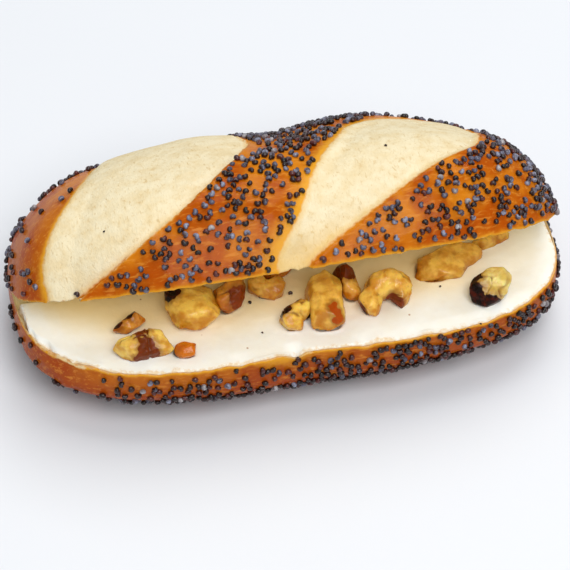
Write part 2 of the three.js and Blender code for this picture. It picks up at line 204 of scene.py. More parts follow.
def through(pairs, at):
    """A smooth cubic curve through (at, value) pairs whose `at` runs downwards, with its slope.
    Each stretch is a Hermite cubic, and the slope at a pair is that of the line past it."""
    key, value = np.array(pairs, float).T
    before = np.maximum(np.arange(len(key)) - 1, 0)
    after = np.minimum(np.arange(len(key)) + 1, len(key) - 1)
    tangent = (value[after] - value[before]) / (key[after] - key[before])
    clamped = np.clip(at, key[-1], key[0])
    i = np.clip(np.searchsorted(-key, -clamped, side="right") - 1, 0, len(key) - 2)
    span = key[i + 1] - key[i]
    t = (clamped - key[i]) / span
    ma, mb = tangent[i] * span, tangent[i + 1] * span
    height = value[i] * (2 * t**3 - 3 * t**2 + 1) + ma * (t**3 - 2 * t**2 + t)
    height = height + value[i + 1] * (3 * t**2 - 2 * t**3) + mb * (t**3 - t**2)
    rise = (value[i + 1] - value[i]) * (6 * t - 6 * t**2)
    rise = rise + ma * (3 * t**2 - 4 * t + 1) + mb * (3 * t**2 - 2 * t)
    return height, rise / span


# %% [markdown]
# ## The crust as a function of two angles
# A point of the crust is found from the middle of the hinge line: `lean` turns towards an end of
# the roll and `around` turns round it. The closed roll is a superellipse in plan and another in
# section, and the point where a direction leaves it is found by halving an interval, for all
# directions at once. Opening the mouth is then only a change of angle.


# %% The closed roll
def direction(lean, around):
    """The unit vector (sin lean, cos lean cos around, cos lean sin around)."""
    across = np.cos(lean)
    return np.stack([np.sin(lean) + 0 * around, across * np.cos(around), across * np.sin(around)], -1)


def level(x, y, z):
    """Below 1 inside the roll: (|x|^p + |y|^p)^(q/p) + |z|^q, each length as a share of its half."""
    t = x / HALF_LENGTH
    across = (y - SWAY * (t * t - SWAY_STILL)) / (1 + TAPER * t)
    blunt = np.where(x < 0, LEFT_BLUNT, RIGHT_BLUNT)
    plan = np.abs(t) ** blunt + np.abs(across / HALF_WIDTH) ** blunt
    crown = sum(rise * bell(t, at, reach) for rise, at, reach in CROWN)
    height = np.where(z > 0, DOME * (1 + DOME_SLOPE * t) + crown, BELLY)
    roundness = np.where(z > 0, DOME_ROUND, BELLY_ROUND)
    return plan ** (roundness / blunt) + np.abs(z / height) ** roundness


def halved(inside, shape, furthest, times):
    """How far each ray stays inside: an interval from 0 to `furthest`, halved so many times."""
    near, far = np.zeros(shape), np.full(shape, furthest)
    for _ in range(times):
        middle = (near + far) / 2
        within = inside(middle)
        near, far = np.where(within, middle, near), np.where(within, far, middle)
    return near


def crust_distance(ray):
    """How far the closed crust lies along each ray."""

    def inside(distance):
        x, y, z = np.moveaxis(ray * distance[..., None], -1, 0)
        return level(x, HINGE + y, CUT + z) < 1

    return halved(inside, ray.shape[:-1], 2.0 * HALF_LENGTH, 30)


half_width = crust_distance(direction(0.0, math.pi))
print("closed roll, half its width at the cut:", round(float(half_width), 2), "mm")


# %% Slash distances and relief
def front_angle(angle):
    """The same angle, counted on past 180 below the front rim, so that the front has no seam."""
    return np.where(angle < -90, angle + 360, angle)


def slash_depths(x, angle, lower=False):
    """For each slash, the distance of a crust point inside its soft edge and inside its ear: the
    gap in x to the curve, turned square to it by its slope, and cut short at the slash's tips.
    On the `lower` jaw a slash runs out `tail` millimetres below the rim. The third number is how
    deep it is sunk there: its depth at the front, fading to a swell (depth x swell) at the back."""
    found = []
    for slash in SLASHES:
        sides = []
        for name, side in (("soft", 1), ("ear", -1)):
            value, slope = through(slash[name], angle)
            sides.append(side * (x - value) / np.hypot(1, slope / PER_DEGREE))
        fade = smoothstep(angle, *slash["fades"])
        sunk = slash["depth"] * (slash["swell"] + (1 - slash["swell"]) * fade)
        keys = [key for key, _ in slash["soft"]]
        tip = np.minimum(keys[0] - angle, angle - keys[-1]) * PER_DEGREE
        tip = np.where(lower, np.minimum(tip, slash["tail"] - (angle - 180) * PER_DEGREE), tip)
        found.append((np.minimum(sides[0], tip), np.minimum(sides[1], tip), sunk))
    return found


def inmost(depths):
    """The distance inside the nearest slash, in millimetres, negative on the crust."""
    return np.max([np.minimum(soft, ear) for soft, ear, _ in depths], axis=0)


def slash_inside(x, along, lower=False):
    """The same for places along the roll and round it."""
    return inmost(slash_depths(x, along, lower))


def relief(depths):
    """What the crust's distance gains: a rise on the bands between the slashes, less a slash's
    depth where both its edges are passed, plus a lip that falls off exponentially from its ear."""
    height = BAND_RISE
    for from_soft, from_ear, depth in depths:
        inside = np.minimum(from_soft, from_ear)
        height = height - BAND_RISE * smoothstep(inside, -BAND_REACH, 0)
        sunk = smoothstep(from_soft, 0, SOFT_REACH) * smoothstep(from_ear, -EAR_LEAN, EAR_REACH)
        lip = np.where(from_ear < 0, smoothstep(from_soft, 0, SOFT_REACH), 0)
        height = height - depth * sunk + EAR_RISE * np.exp(np.minimum(from_ear, 0) / EAR_WIDTH) * lip
    return height


# %% The opened crust
def opened(angle):
    """The angle round the roll, in radians, once the upper jaw is turned back about the hinge: the
    angle less OPEN, which comes in smoothly across the fold."""
    return np.radians(angle) - OPEN * smoothstep(angle, FOLD_START, FOLD_END)


def crust_point(lean, angle, fine=True, slashed=True):
    """Points of the opened crust. `angle` runs from -180, the lower rim, past -90, the base, 0, the
    back, and 90, the top, to 180, the upper rim. Distance = closed distance + relief + slow waves
    + fold, softly cut off at the base. With `fine`, the edges waver and the crumb is uneven."""
    lean, angle = np.broadcast_arrays(np.asarray(lean, float), np.asarray(angle, float))
    closed_ray = direction(lean, np.radians(angle))
    plain = crust_distance(closed_ray)
    x = plain * closed_ray[..., 0]
    along = front_angle(angle)
    ray = direction(lean, opened(angle))
    rough = ray * plain[..., None] + (0, HINGE, CUT_LEVEL)
    if fine:
        x = grained(x, np.stack([x, along * PER_DEGREE, 0 * x], -1), "slash edge")
    depths = slash_depths(x, along, angle < -90)
    height = relief(depths) if slashed else BAND_RISE
    if fine:
        crumb = smoothstep(inmost(depths), 0, SOFT_CRUMB)
        height = height + crumb * grained(0, rough, "crumb") + (1 - crumb) * grained(0, rough, "glaze")
        knobbly = smoothstep(-rough[..., 0], *KNOBBLY_END) * (angle < -90)
        height = height + knobbly * grained(0, rough, "knobs")
    folding = window(angle, FOLD_START, FOLD_PEAK, FOLD_PEAK, FOLD_END)
    uneven = UNEVEN * waves(rough[..., 0], rough[..., 1], rough[..., 2], UNEVEN_LENGTH)
    ends = smoothstep(np.cos(lean), *PLAIN_ENDS)
    distance = plain + (height + uneven + FOLD_BULGE * folding) * ends
    to_base = CUT_LEVEL / np.maximum(-ray[..., 2], 1e-6)
    rounding = np.maximum(BASE_ROUND - np.abs(distance - to_base), 0) / BASE_ROUND
    cut_off = np.minimum(distance, to_base) - rounding**2 * BASE_ROUND / 4
    distance = np.where(ray[..., 2] < 0, cut_off, distance)
    return ray * distance[..., None] + (0, HINGE - MIDDLE, CUT_LEVEL)


def column_lean(share):
    """The lean of a column at a share, -1 to 1, of the half length: the angle whose tangent is
    share x HALF_LENGTH over sqrt(1 - share^2) x HALF_WIDTH x LEAN_WIDTH."""
    return np.arctan2(share * HALF_LENGTH, np.sqrt(1 - share**2) * HALF_WIDTH * LEAN_WIDTH)


# %% [markdown]
# ## From rings of points to a closed mesh
# Every soft piece here is a stack of closed loops with a point at each end, like a sausage. The
# points are worked out as whole arrays and handed over in one go, which is far quicker than adding
# vertices one by one. A negative volume would mean that the faces look inwards, so it is measured.


# %% The lofting helper
MM = 0.001


def new_piece(name, points, faces):
    """A mesh object with smooth shading, from points in millimetres and lists of corners."""
    mesh = bpy.data.meshes.new(name)
    mesh.from_pydata((points * MM).tolist(), [], faces)
    mesh.polygons.foreach_set("use_smooth", np.ones(len(mesh.polygons), bool))
    piece = bpy.data.objects.new(name, mesh)
    bpy.context.scene.collection.objects.link(piece)
    return piece


def closed_loft(name, rings, start, end, values=None):
    """Joins rings[i, j] by quads and closes both ends by fans. `values` are numbers at each point,
    given as arrays over the rings and kept on the mesh under their names."""
    columns, rows, _ = rings.shape
    points = np.concatenate([[start], rings.reshape(-1, 3), [end]])
    i = np.arange(columns - 1)[:, None] * rows
    j = np.arange(rows)[None]
    after = (j + 1) % rows
    quads = 1 + np.stack([i + j, i + rows + j, i + rows + after, i + after], -1).reshape(-1, 4)
    last = 1 + (columns - 1) * rows
    fan_a = np.stack([0 * j[0], 1 + j[0], 1 + after[0]], -1)
    fan_b = np.stack([0 * j[0] + len(points) - 1, last + after[0], last + j[0]], -1)
    fans = np.concatenate([fan_a, fan_b])
    triangles = np.concatenate([quads[:, :3], quads[:, [0, 2, 3]], fans])
    a, b, c = points[triangles].transpose(1, 0, 2)
    volume = np.einsum("ij,ij->i", a, np.cross(b, c)).sum() / 6
    if volume < 0:
        quads, fans = quads[:, ::-1], fans[:, ::-1]
    piece = new_piece(name, points, quads.tolist() + fans.tolist())
    for key, value in (values or {}).items():
        whole = np.concatenate([[value[0].mean()], value.reshape(-1), [value[-1].mean()]])
        kept = piece.data.attributes.new(key, "FLOAT", "POINT")
        kept.data.foreach_set("value", whole.astype(np.float32))
    print(f"{name}: {len(triangles)} triangles, {abs(volume) / 1000:.2f} cm3")
    return piece


# %% [markdown]
# ## The roll
# One loop runs out along the lower cut face, round the crust, and back along the upper face. The
# rows are close together where the camera and the eye go, on the top and front, and wide apart
# below and behind. Numbers kept at each point say how far it lies inside a slash, past the rim,
# and from the golden edges, so that the finish can follow the form exactly.


# %% Rows and columns
CLOSE_ABOVE, CLOSE_BELOW = 66, -118  # past these angles the rows are close together
FAR_WEIGHT = 0.33
CRUST_ROWS = 262
COLUMNS = 304


def evenly(points, values, count, weight=1.0):
    """`count` of the values, spaced evenly by the length along the points times the weight."""
    steps = np.linalg.norm(np.diff(points, axis=0), axis=1) * weight
    length = np.concatenate([[0], np.cumsum(steps)])
    return np.interp(np.linspace(0, length[-1], count), length, values)


def even_angles(count):
    """Angles from -180 to 180, evenly spaced along the middle section, three times closer where
    the crust faces up and forward."""
    fine = np.linspace(-180, 180, 1441)
    middle = (fine[1:] + fine[:-1]) / 2
    weight = np.where((middle > CLOSE_ABOVE) | (middle < CLOSE_BELOW), 1.0, FAR_WEIGHT)
    return evenly(crust_point(0.0, fine, fine=False), fine, count, weight)


def even_leans(count):
    """Leans from tip to tip, evenly spaced along the rim."""
    fine = np.radians(np.linspace(-90, 90, 2001))
    return evenly(crust_point(fine, -180.0, fine=False), fine, count)


angles = even_angles(CRUST_ROWS)
leans = even_leans(COLUMNS + 2)[1:-1]
print("rows on the crust:", len(angles), " columns:", len(leans))

# %% Crust, rims and cut faces
RIM_CRUMB = (1.2, 3.2)  # the crumb falls from the rim into the dish between these depths
RIM_FADE = 5.0
RIM_FROM, RIM_END = 176, 180  # the crust follows the torn rim between these angles
CALM_TIPS = (0, 0.2)
FACE_EDGE = (0.1, 0.8)
NOTCH_AT, NOTCH_WIDTH, NOTCH_DEPTH = -3.9, 1.7, 1.5
SAGS = [(0.55, -33, 13), (0.95, 32, 12)]  # depth, middle and width
RIM_WAVES = [(0.16, 8.3, 0.4), (0.12, 5.1, 2.0)]  # height, length and start
NEAR_STEPS, FAR_STEPS, SHORT_FACE = 8, 16, 0.1
FACE_STEPS = np.concatenate([np.linspace(0.25, 2.0, NEAR_STEPS), np.linspace(0, 1, FAR_STEPS)[1:-1]])
RAGS = [(0.1, 0.35, 1.7, 8), (0.1, 0.3, 0.7, 9)]  # height, what crumb adds, length, draw
RAG_SHIFT = 50  # so that the two rims don't tear alike
HINGE_FADE, BOW_FADE = (0.2, 3), (0, 0.35)


def ragged(points, crumb):
    """How far the torn rim stands above its level, the sum of (height + more x crumb) x grain: more
    where soft crumb reaches it."""
    return sum((height + more * crumb) * grain(points, length, draw) for height, more, length, draw in RAGS)


def rim_notch(x):
    """How far the lower rim dips: a bell curve where the second slash ran over it, two slow waves
    all along, and a sag in the middle of the left half and of the right half."""
    waver = sum(height * np.sin(2 * math.pi * x / length + start) for height, length, start in RIM_WAVES)
    sag = sum(bell(x, middle, width) * depth for depth, middle, width in SAGS)
    return NOTCH_DEPTH * bell(x, NOTCH_AT, NOTCH_WIDTH) + waver + sag


crust = crust_point(leans[:, None], angles[None])
lower_rim, upper_rim = crust[:, 0].copy(), crust[:, -1].copy()
lower_calm = crust_point(leans, -180.0, fine=False, slashed=False)
upper_calm = crust_point(leans, 180.0, fine=False, slashed=False)
hinge_x = (lower_calm[:, 0] + upper_calm[:, 0]) / 2
hinge = np.stack([hinge_x, 0 * leans + HINGE - MIDDLE, 0 * leans + CUT_LEVEL], -1)
face_depth = np.linalg.norm(lower_calm - hinge, axis=1)
dish_strength = smoothstep(face_depth, *DISH_ENDS)

low_crumb = smoothstep(slash_inside(lower_rim[:, 0], 180 + 0 * leans, True), -1, 1)
high_crumb = smoothstep(slash_inside(upper_rim[:, 0], 180 + 0 * leans), -1, 1)
near_rim = smoothstep(np.abs(angles), RIM_FROM, RIM_END)
rag_low = ragged(lower_rim, low_crumb) * smoothstep(np.cos(leans), *CALM_TIPS)
rag_high = ragged(upper_rim + RAG_SHIFT, 0.2 + high_crumb) * smoothstep(np.cos(leans), *CALM_TIPS)
face_normal = direction(0.0, opened(180.0) + math.pi / 2)  # square to the upper face, into the mouth
crust[..., 2] += (rag_low - rim_notch(lower_rim[:, 0]))[:, None] * near_rim * (angles < 0)
crust += (rag_high[:, None] * near_rim * (angles > 0))[..., None] * face_normal


def across_face(rim, calm):
    """Points from a rim to the hinge: the first steps are depths in mm, the others shares of the
    rest. A point = calm rim (1 - share) + hinge x share, plus what the true rim stands off the calm
    one, which fades out within RIM_FADE mm. Returns the points and their depths."""
    near = FACE_STEPS[:NEAR_STEPS][None]
    near = np.minimum(near, SHORT_FACE * near * face_depth[:, None])
    rest = near[:, -1:] + (face_depth[:, None] - near[:, -1:]) * FACE_STEPS[NEAR_STEPS:][None]
    depth = np.concatenate([near, rest], axis=1)
    share = (depth / face_depth[:, None])[..., None]
    off = (rim - calm)[:, None] * (1 - smoothstep(depth, 0, RIM_FADE))[..., None]
    return calm[:, None] * (1 - share) + hinge[:, None] * share + off * (1 - share), depth


lower, lower_depth = across_face(crust[:, 0], lower_calm)
fall = smoothstep(lower_depth, *RIM_CRUMB) * smoothstep(face_depth[:, None] - lower_depth, *HINGE_FADE)
lower[..., 2] -= DISH * dish_strength[:, None] * fall
past_edge = smoothstep(lower_depth, *FACE_EDGE)
lower[..., 2] += grained(0, lower, "lower face") * past_edge * dish_strength[:, None]
torn_left = smoothstep(-lower_calm[:, 0], *TORN_END)[:, None]
lower[..., 2] += torn_left * np.abs(grained(0, lower, "torn face")) * past_edge

upper, upper_depth = across_face(crust[:, -1], upper_calm)
bow = np.sin(math.pi * np.clip(upper_depth / face_depth[:, None], 0, 1))
pores = grained(0, upper, "upper face")
hollow = (UPPER_HOLLOW * bow + pores * smoothstep(bow, *BOW_FADE)) * dish_strength[:, None]
upper -= hollow[..., None] * face_normal

# %% Numbers for the finish
SLASH_GOLD = (0.7, 1.9)  # how wide the golden edge is beside each soft side
EAR_GOLD, EAR_GOLD_WIDTH = 0.5, 0.45
RIM_GOLD, RIM_GOLD_WIDTH = 0.85, 0.6
NOTCH_GOLD, NOTCH_GOLD_WIDTH = 0.95, 2.4
NOTCH_GOLD_AT, NOTCH_GOLD_REACH = -2.5, 6  # beside the notch, along the rim
GOLD_WIDENS, WIDENS_FROM, WIDENS_TO = 0.7, 152, 178  # the share, and between which angles
along = front_angle(angles)
rim_gap = (180 - np.abs(angles)) * PER_DEGREE
slash_gaps = slash_depths(crust[..., 0], np.broadcast_to(along, crust.shape[:2]), angles < -90)
inside_crust = inmost(slash_gaps)
gold = np.zeros(crust.shape[:2])
for (from_soft, from_ear, _), width in zip(slash_gaps, SLASH_GOLD):
    width = width * (1 + GOLD_WIDENS * smoothstep(along, WIDENS_FROM, WIDENS_TO))
    by_soft = np.exp(np.minimum(from_soft, 0) / width) * smoothstep(from_ear, -1, 2)
    by_ear = EAR_GOLD * np.exp(np.minimum(from_ear, 0) / EAR_GOLD_WIDTH) * smoothstep(from_soft, -1, 2)
    gold = np.maximum(gold, np.maximum(by_soft, by_ear))
gold = np.maximum(gold, RIM_GOLD * np.exp(-rim_gap / RIM_GOLD_WIDTH)[None])
by_notch = bell(crust[..., 0] - NOTCH_AT, NOTCH_GOLD_AT, NOTCH_GOLD_REACH) * (angles < 0)
gold = np.maximum(gold, NOTCH_GOLD * np.exp(-rim_gap / NOTCH_GOLD_WIDTH)[None] * by_notch)


def face_values(depth, rim_inside):
    """The same numbers on a cut face: `inside` is the rim's, `past` the depth, and `gold` is 1."""
    ones = np.ones_like(depth)
    return {"inside": rim_inside[:, None] * ones, "past": depth, "gold": ones}


lower_values = face_values(lower_depth, inside_crust[:, 0])
upper_values = face_values(upper_depth, inside_crust[:, -1])
crust_values = {"inside": inside_crust, "past": -np.broadcast_to(rim_gap, crust.shape[:2]), "gold": gold}
values = {}
for key in crust_values:
    hinge_value = lower_values[key][:, -1:]
    values[key] = np.concatenate(
        [hinge_value, lower_values[key][:, ::-1], crust_values[key], upper_values[key]], axis=1
    )
rings = np.concatenate([hinge[:, None], lower[:, ::-1], crust, upper], axis=1)
tips = crust_point(np.radians([-90.0, 90.0]), -180.0, fine=False)
roll = closed_loft("roll_bread", rings, tips[0], tips[1], values)
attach(roll, "root")
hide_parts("roll")

# %% [markdown]
# ## Poppy seeds
# A poppy seed is a tiny kidney, about 1.4 mm long, with a notch in one side. There are well over
# two thousand on the roll. Particles or instances would scatter them, but the export wants plain
# meshes, so one small kidney of a few dozen faces is worked out once, and each colour of seed is
# one mesh of many copies, turned and placed by array sums.

# %% One seed
SEED_LONG, SEED_WIDE, SEED_HIGH = 1.4, 1.2, 1.06
SEED_AROUND, SEED_DOWN = 12, 5
SEED_DENT, SEED_DENT_WIDTH = 0.48, 0.3
SEED_BEND, SEED_SHIFT = 0.2, 0.07


def seed_shape():
    """A kidney: the points of an ellipsoid, bent so that y falls off with x squared, with a dent
    pressed into the middle of one side."""
    down = np.linspace(0, math.pi, SEED_DOWN + 1)[1:-1, None]
    around = np.linspace(0, 2 * math.pi, SEED_AROUND, endpoint=False)[None]
    x = np.sin(down) * np.cos(around)
    y = np.sin(down) * np.sin(around)
    z = np.cos(down) + 0 * around
    dent = SEED_DENT * bell(x, 0, SEED_DENT_WIDTH) * smoothstep(-y, 0.1, 0.9)
    y = y + dent - SEED_BEND * x**2 + SEED_SHIFT
    body = np.stack([x * SEED_LONG, y * SEED_WIDE, z * SEED_HIGH], -1).reshape(-1, 3) / 2
    poles = np.array([[0, 0.08, SEED_HIGH / 2], [0, 0.08, -SEED_HIGH / 2]])
    return np.concatenate([body, poles])


def seed_faces():
    """Quads between the loops and a fan at each pole, wound so that they look outwards."""
    i = np.arange(SEED_DOWN - 2)[:, None] * SEED_AROUND
    j = np.arange(SEED_AROUND)[None]
    after = (j + 1) % SEED_AROUND
    below = i + SEED_AROUND
    quads = np.stack([i + j, below + j, below + after, i + after], -1).reshape(-1, 4)
    top = (SEED_DOWN - 1) * SEED_AROUND
    low = (SEED_DOWN - 2) * SEED_AROUND
    cap_a = np.stack([top + 0 * j[0], j[0], after[0]], -1)
    cap_b = np.stack([top + 1 + 0 * j[0], low + after[0], low + j[0]], -1)
    return quads, np.concatenate([cap_a, cap_b])


seed_points = seed_shape()
seed_quads, seed_caps = seed_faces()
print("one seed:", len(seed_points), "points,", 2 * len(seed_quads) + len(seed_caps), "triangles")

# %% [markdown]
# ## Where the seeds lie
# The roll was turned in seeds before it was baked: they crowd on the right end, high up in the
# middle and below the cut, thin out along the golden edges, and are nearly missing on the left
# end's front and behind the second slash.
# Places are drawn from a seeded stream and kept where the crust's own numbers allow it. The first
# ones are the seeds that the solids already have.


# %% Places on the crust
def crust_frame(lean, angle):
    """Points of the crust with their outward normals, from the cross product of two small steps,
    and the square millimetres that one radian of lean and one degree round cover there."""
    step = 0.012
    point = crust_point(lean, angle)
    along_roll = crust_point(lean + step, angle) - crust_point(lean - step, angle)
    degrees = math.degrees(step)
    round_roll = crust_point(lean, angle + degrees) - crust_point(lean, angle - degrees)
    normal = np.cross(round_roll, along_roll)
    area = np.linalg.norm(normal, axis=-1)
    return point, normal / area[..., None], area / (4 * step * degrees)


def solid_draws(seed, count):
    """The stream that placed the solids' seeds: state * 1664525 + 1013904223, modulo 2^32."""
    state, drawn = seed, []
    for _ in range(count):
        state = (state * 1664525 + 1013904223) % 4294967296
        drawn.append(state / 4294967296)
    return np.array(drawn)


def keep_apart(points, wanted, spacing, limit):
    """Goes through places in order and keeps those that are wanted and at least `spacing` from all
    kept so far. A coarse grid of cells finds the neighbours."""
    cells, chosen = {}, []
    for k, key in enumerate(map(tuple, np.floor(points / spacing).astype(int))):
        if not wanted[k]:
            continue
        near = [n for c in np.ndindex(3, 3, 3) for n in cells.get(tuple(np.add(key, c) - 1), ())]
        if near and (np.linalg.norm(points[near] - points[k], axis=1) < spacing).any():
            continue
        cells.setdefault(key, []).append(k)
        chosen.append(k)
        if len(chosen) >= limit:
            break
    return np.array(chosen)


SOLID_SEEDS = {"count": 160, "spacing": 5.2, "draw": 20417, "tries": 9000}
SOLID_ENDS, SOLID_ANGLE, SOLID_LOWEST, SOLID_CLEAR = 0.98, 175, 2.2, 1.2
drawn = solid_draws(SOLID_SEEDS["draw"], 3 * SOLID_SEEDS["tries"]).reshape(-1, 3)
solid_lean = column_lean(SOLID_ENDS * (2 * drawn[:, 0] - 1))
solid_angle = (2 * drawn[:, 1] - 1) * SOLID_ANGLE
solid_points = crust_point(solid_lean, solid_angle, fine=False)
allowed = slash_inside(solid_points[:, 0], front_angle(solid_angle)) < -SOLID_CLEAR
allowed = allowed & (solid_points[:, 2] > SOLID_LOWEST)
first = keep_apart(solid_points, allowed, SOLID_SEEDS["spacing"], SOLID_SEEDS["count"])
print("seeds that the solids have:", len(first))

# %% All the seeds
TRIES = 42000
SHARE_REACH, ANGLE_REACH, NUDGE = 0.999, 178.8, 0.0005
SEED_SPACING, SEED_LIMIT = 1.02, 7500
MIDDLE_SEEDS, HIGH_SEEDS, END_SEEDS, LOW_SEEDS = 0.34, 0.24, 0.58, 0.8  # in a square millimetre
FRONT = np.array([-0.17, -0.69, 0.7])
chance = np.random.RandomState(4)
share_try = chance.uniform(-SHARE_REACH, SHARE_REACH, TRIES)
angle_try = chance.uniform(-ANGLE_REACH, ANGLE_REACH, TRIES)
lean_try = column_lean(share_try)
point_try, normal_try, area_try = crust_frame(lean_try, angle_try)
nudged = column_lean(share_try + NUDGE) - column_lean(share_try - NUDGE)
area_try = area_try * nudged / (2 * NUDGE)
along_try = front_angle(angle_try)
inside_try = slash_inside(point_try[:, 0], along_try, angle_try < -90)


def seed_density(points, normals, along, inside):
    """Seeds in a square millimetre: a mean for each region of crust, times 1 - share for each place
    where they are fewer (a share below 0 means more), in loose clusters, none in the slashes, on
    the base or at the rims."""
    x, y, z = points.T
    left_end = x < through(SLASHES[0]["soft"], along)[0]
    middle = ~left_end & (x < through(SLASHES[1]["soft"], along)[0])
    upper = along < 180  # below, limits are millimetres, or degrees where they are for `along`
    high = smoothstep(z, 24, 38)
    density = np.where(middle, MIDDLE_SEEDS + HIGH_SEEDS * high, END_SEEDS)
    density = np.where(upper, density, LOW_SEEDS)
    facing = normals @ FRONT
    behind = window(x, 19, 23, 44, 50) * window(along, 44, 56, 96, 110)
    by_notch = bell(x, -8.5, 4.5) * smoothstep(z, CUT_LEVEL - 2.6, CUT_LEVEL - 1.4) * ~upper
    low_left = smoothstep(-x, 30, 46) * smoothstep(-y, -6, 8) * ~upper
    fewer = [
        0.93 * behind,
        by_notch,
        0.95 * left_end * upper * smoothstep(facing, -0.1, 0.14),
        0.6 * left_end * window(along, 50, 75, 130, 150),
        -0.5 * smoothstep(-facing, -0.25, 0.0) * upper,
        0.9 * low_left * smoothstep(z, 3, 7),
        0.55 * smoothstep(z, 9, 14) * ~upper * smoothstep(-x, -10, 20),
    ]
    for share in fewer:
        density = density * (1 - share)
    density = density * grained(0.95, points, "seed clusters")
    density = density * smoothstep(z, 1.2, 4) * smoothstep(-inside, 0.2, 1.4)
    above = (points - (0, HINGE - MIDDLE, CUT_LEVEL)) @ -face_normal
    to_lower_rim = np.where(along > 180, CUT_LEVEL - z, 9)
    to_upper_rim = np.where(along > 180, 9, above)
    density = density * smoothstep(to_lower_rim, 0.6, 1.3) * smoothstep(to_upper_rim, 0.4, 1.0)
    return np.maximum(density, 0)


density_try = seed_density(point_try, normal_try, along_try, inside_try)
tries_in_unit = TRIES / (4 * SHARE_REACH * ANGLE_REACH)
wanted = chance.uniform(0, 1, TRIES) < density_try * area_try / tries_in_unit
all_points = np.concatenate([solid_points[first], point_try])
all_wanted = np.concatenate([np.ones(len(first), bool), wanted])
chosen = keep_apart(all_points, all_wanted, SEED_SPACING, SEED_LIMIT)
print("seeds wanted:", int(wanted.sum()), " kept:", len(chosen))

# %% [markdown]
# ## Turning and placing
# Each seed lies on its side on the crust, sunk a little into the glaze, with its long way anywhere.
# A seed's frame is its normal and two directions square to it. Multiplying one table of points by
# all frames at once places a whole colour in a single sum.

# %% Build the seed pieces
SEED_KINDS = {  # the share of each colour
    "seeds_slate": 0.31,
    "seeds_grey": 0.14,
    "seeds_black": 0.34,
    "seeds_plum": 0.18,
    # the few pale grey seeds, scattered at random, stand in for glints: painted highlight
    "seeds_pale_glint": 0.03,
}
SHADED_BELOW_CUT = 0.7  # of the slate and grey seeds below the cut, this share is black or plum: painted shade on the lower front
DARK_REACH = 0.9  # their draws, times this, go on from where black begins
SEED_TILT = 0.22
SEED_SIZE_SPREAD, SEED_SIZES = 0.07, (0.82, 1.15)
SEED_SINK = (0.05, 0.25)


def seed_piece(name, places, normals, spins, sizes, sink):
    """Copies of the seed at all places: place + frame x seed point, the frame being two tangents,
    turned by the spin, and the normal."""
    helper = np.where(np.abs(normals[:, :1]) < 0.9, [[1.0, 0, 0]], [[0, 1.0, 0]])
    side = np.cross(normals, helper)
    side /= np.linalg.norm(side, axis=1, keepdims=True)
    other = np.cross(normals, side)
    c, s = np.cos(spins[:, None]), np.sin(spins[:, None])
    axes = np.stack([side * c + other * s, other * c - side * s, normals], 1)
    middles = places + normals * (SEED_HIGH * sizes * 0.5 - sink)[:, None]
    points = middles[:, None] + np.einsum("pk,nkd->npd", seed_points, axes) * sizes[:, None, None]
    base = (np.arange(len(places)) * len(seed_points))[:, None, None]
    quads = (base + seed_quads[None]).reshape(-1, 4)
    caps = (base + seed_caps[None]).reshape(-1, 3)
    piece = new_piece(name, points.reshape(-1, 3), quads.tolist() + caps.tolist())
    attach(piece, "root")
    print(f"{name}: {len(places)} seeds, {2 * len(quads) + len(caps)} triangles")
    return piece


lean_all = np.concatenate([solid_lean[first], lean_try])[chosen]
angle_all = np.concatenate([solid_angle[first], angle_try])[chosen]
seed_places, seed_normals, _ = crust_frame(lean_all, angle_all)
seed_normals = seed_normals + chance.normal(0, SEED_TILT, seed_normals.shape)
seed_normals /= np.linalg.norm(seed_normals, axis=1, keepdims=True)
seed_spins = chance.uniform(0, 2 * math.pi, len(chosen))
seed_sizes = chance.normal(1.0, SEED_SIZE_SPREAD, len(chosen)).clip(*SEED_SIZES)
seed_sink = chance.uniform(*SEED_SINK, len(chosen))
kind_limits = np.cumsum([0] + list(SEED_KINDS.values()))
kind_draw = chance.uniform(0, kind_limits[-1], len(chosen))
dark_from = kind_limits[2]
# Painted shade: below the cut, many slate and grey seeds become black or plum ones.
shade_darkened_seeds = (angle_all < -90) & (kind_draw < dark_from)
shade_darkened_seeds = shade_darkened_seeds & (chance.uniform(0, 1, len(chosen)) < SHADED_BELOW_CUT)
kind_draw = np.where(shade_darkened_seeds, dark_from + kind_draw * DARK_REACH, kind_draw)
seed_pieces = {}
for name, low, high in zip(SEED_KINDS, kind_limits[:-1], kind_limits[1:]):
    of_kind = (kind_draw >= low) & (kind_draw < high)
    numbers = [each[of_kind] for each in (seed_places, seed_normals, seed_spins, seed_sizes, seed_sink)]
    seed_pieces[name] = seed_piece(name, *numbers)
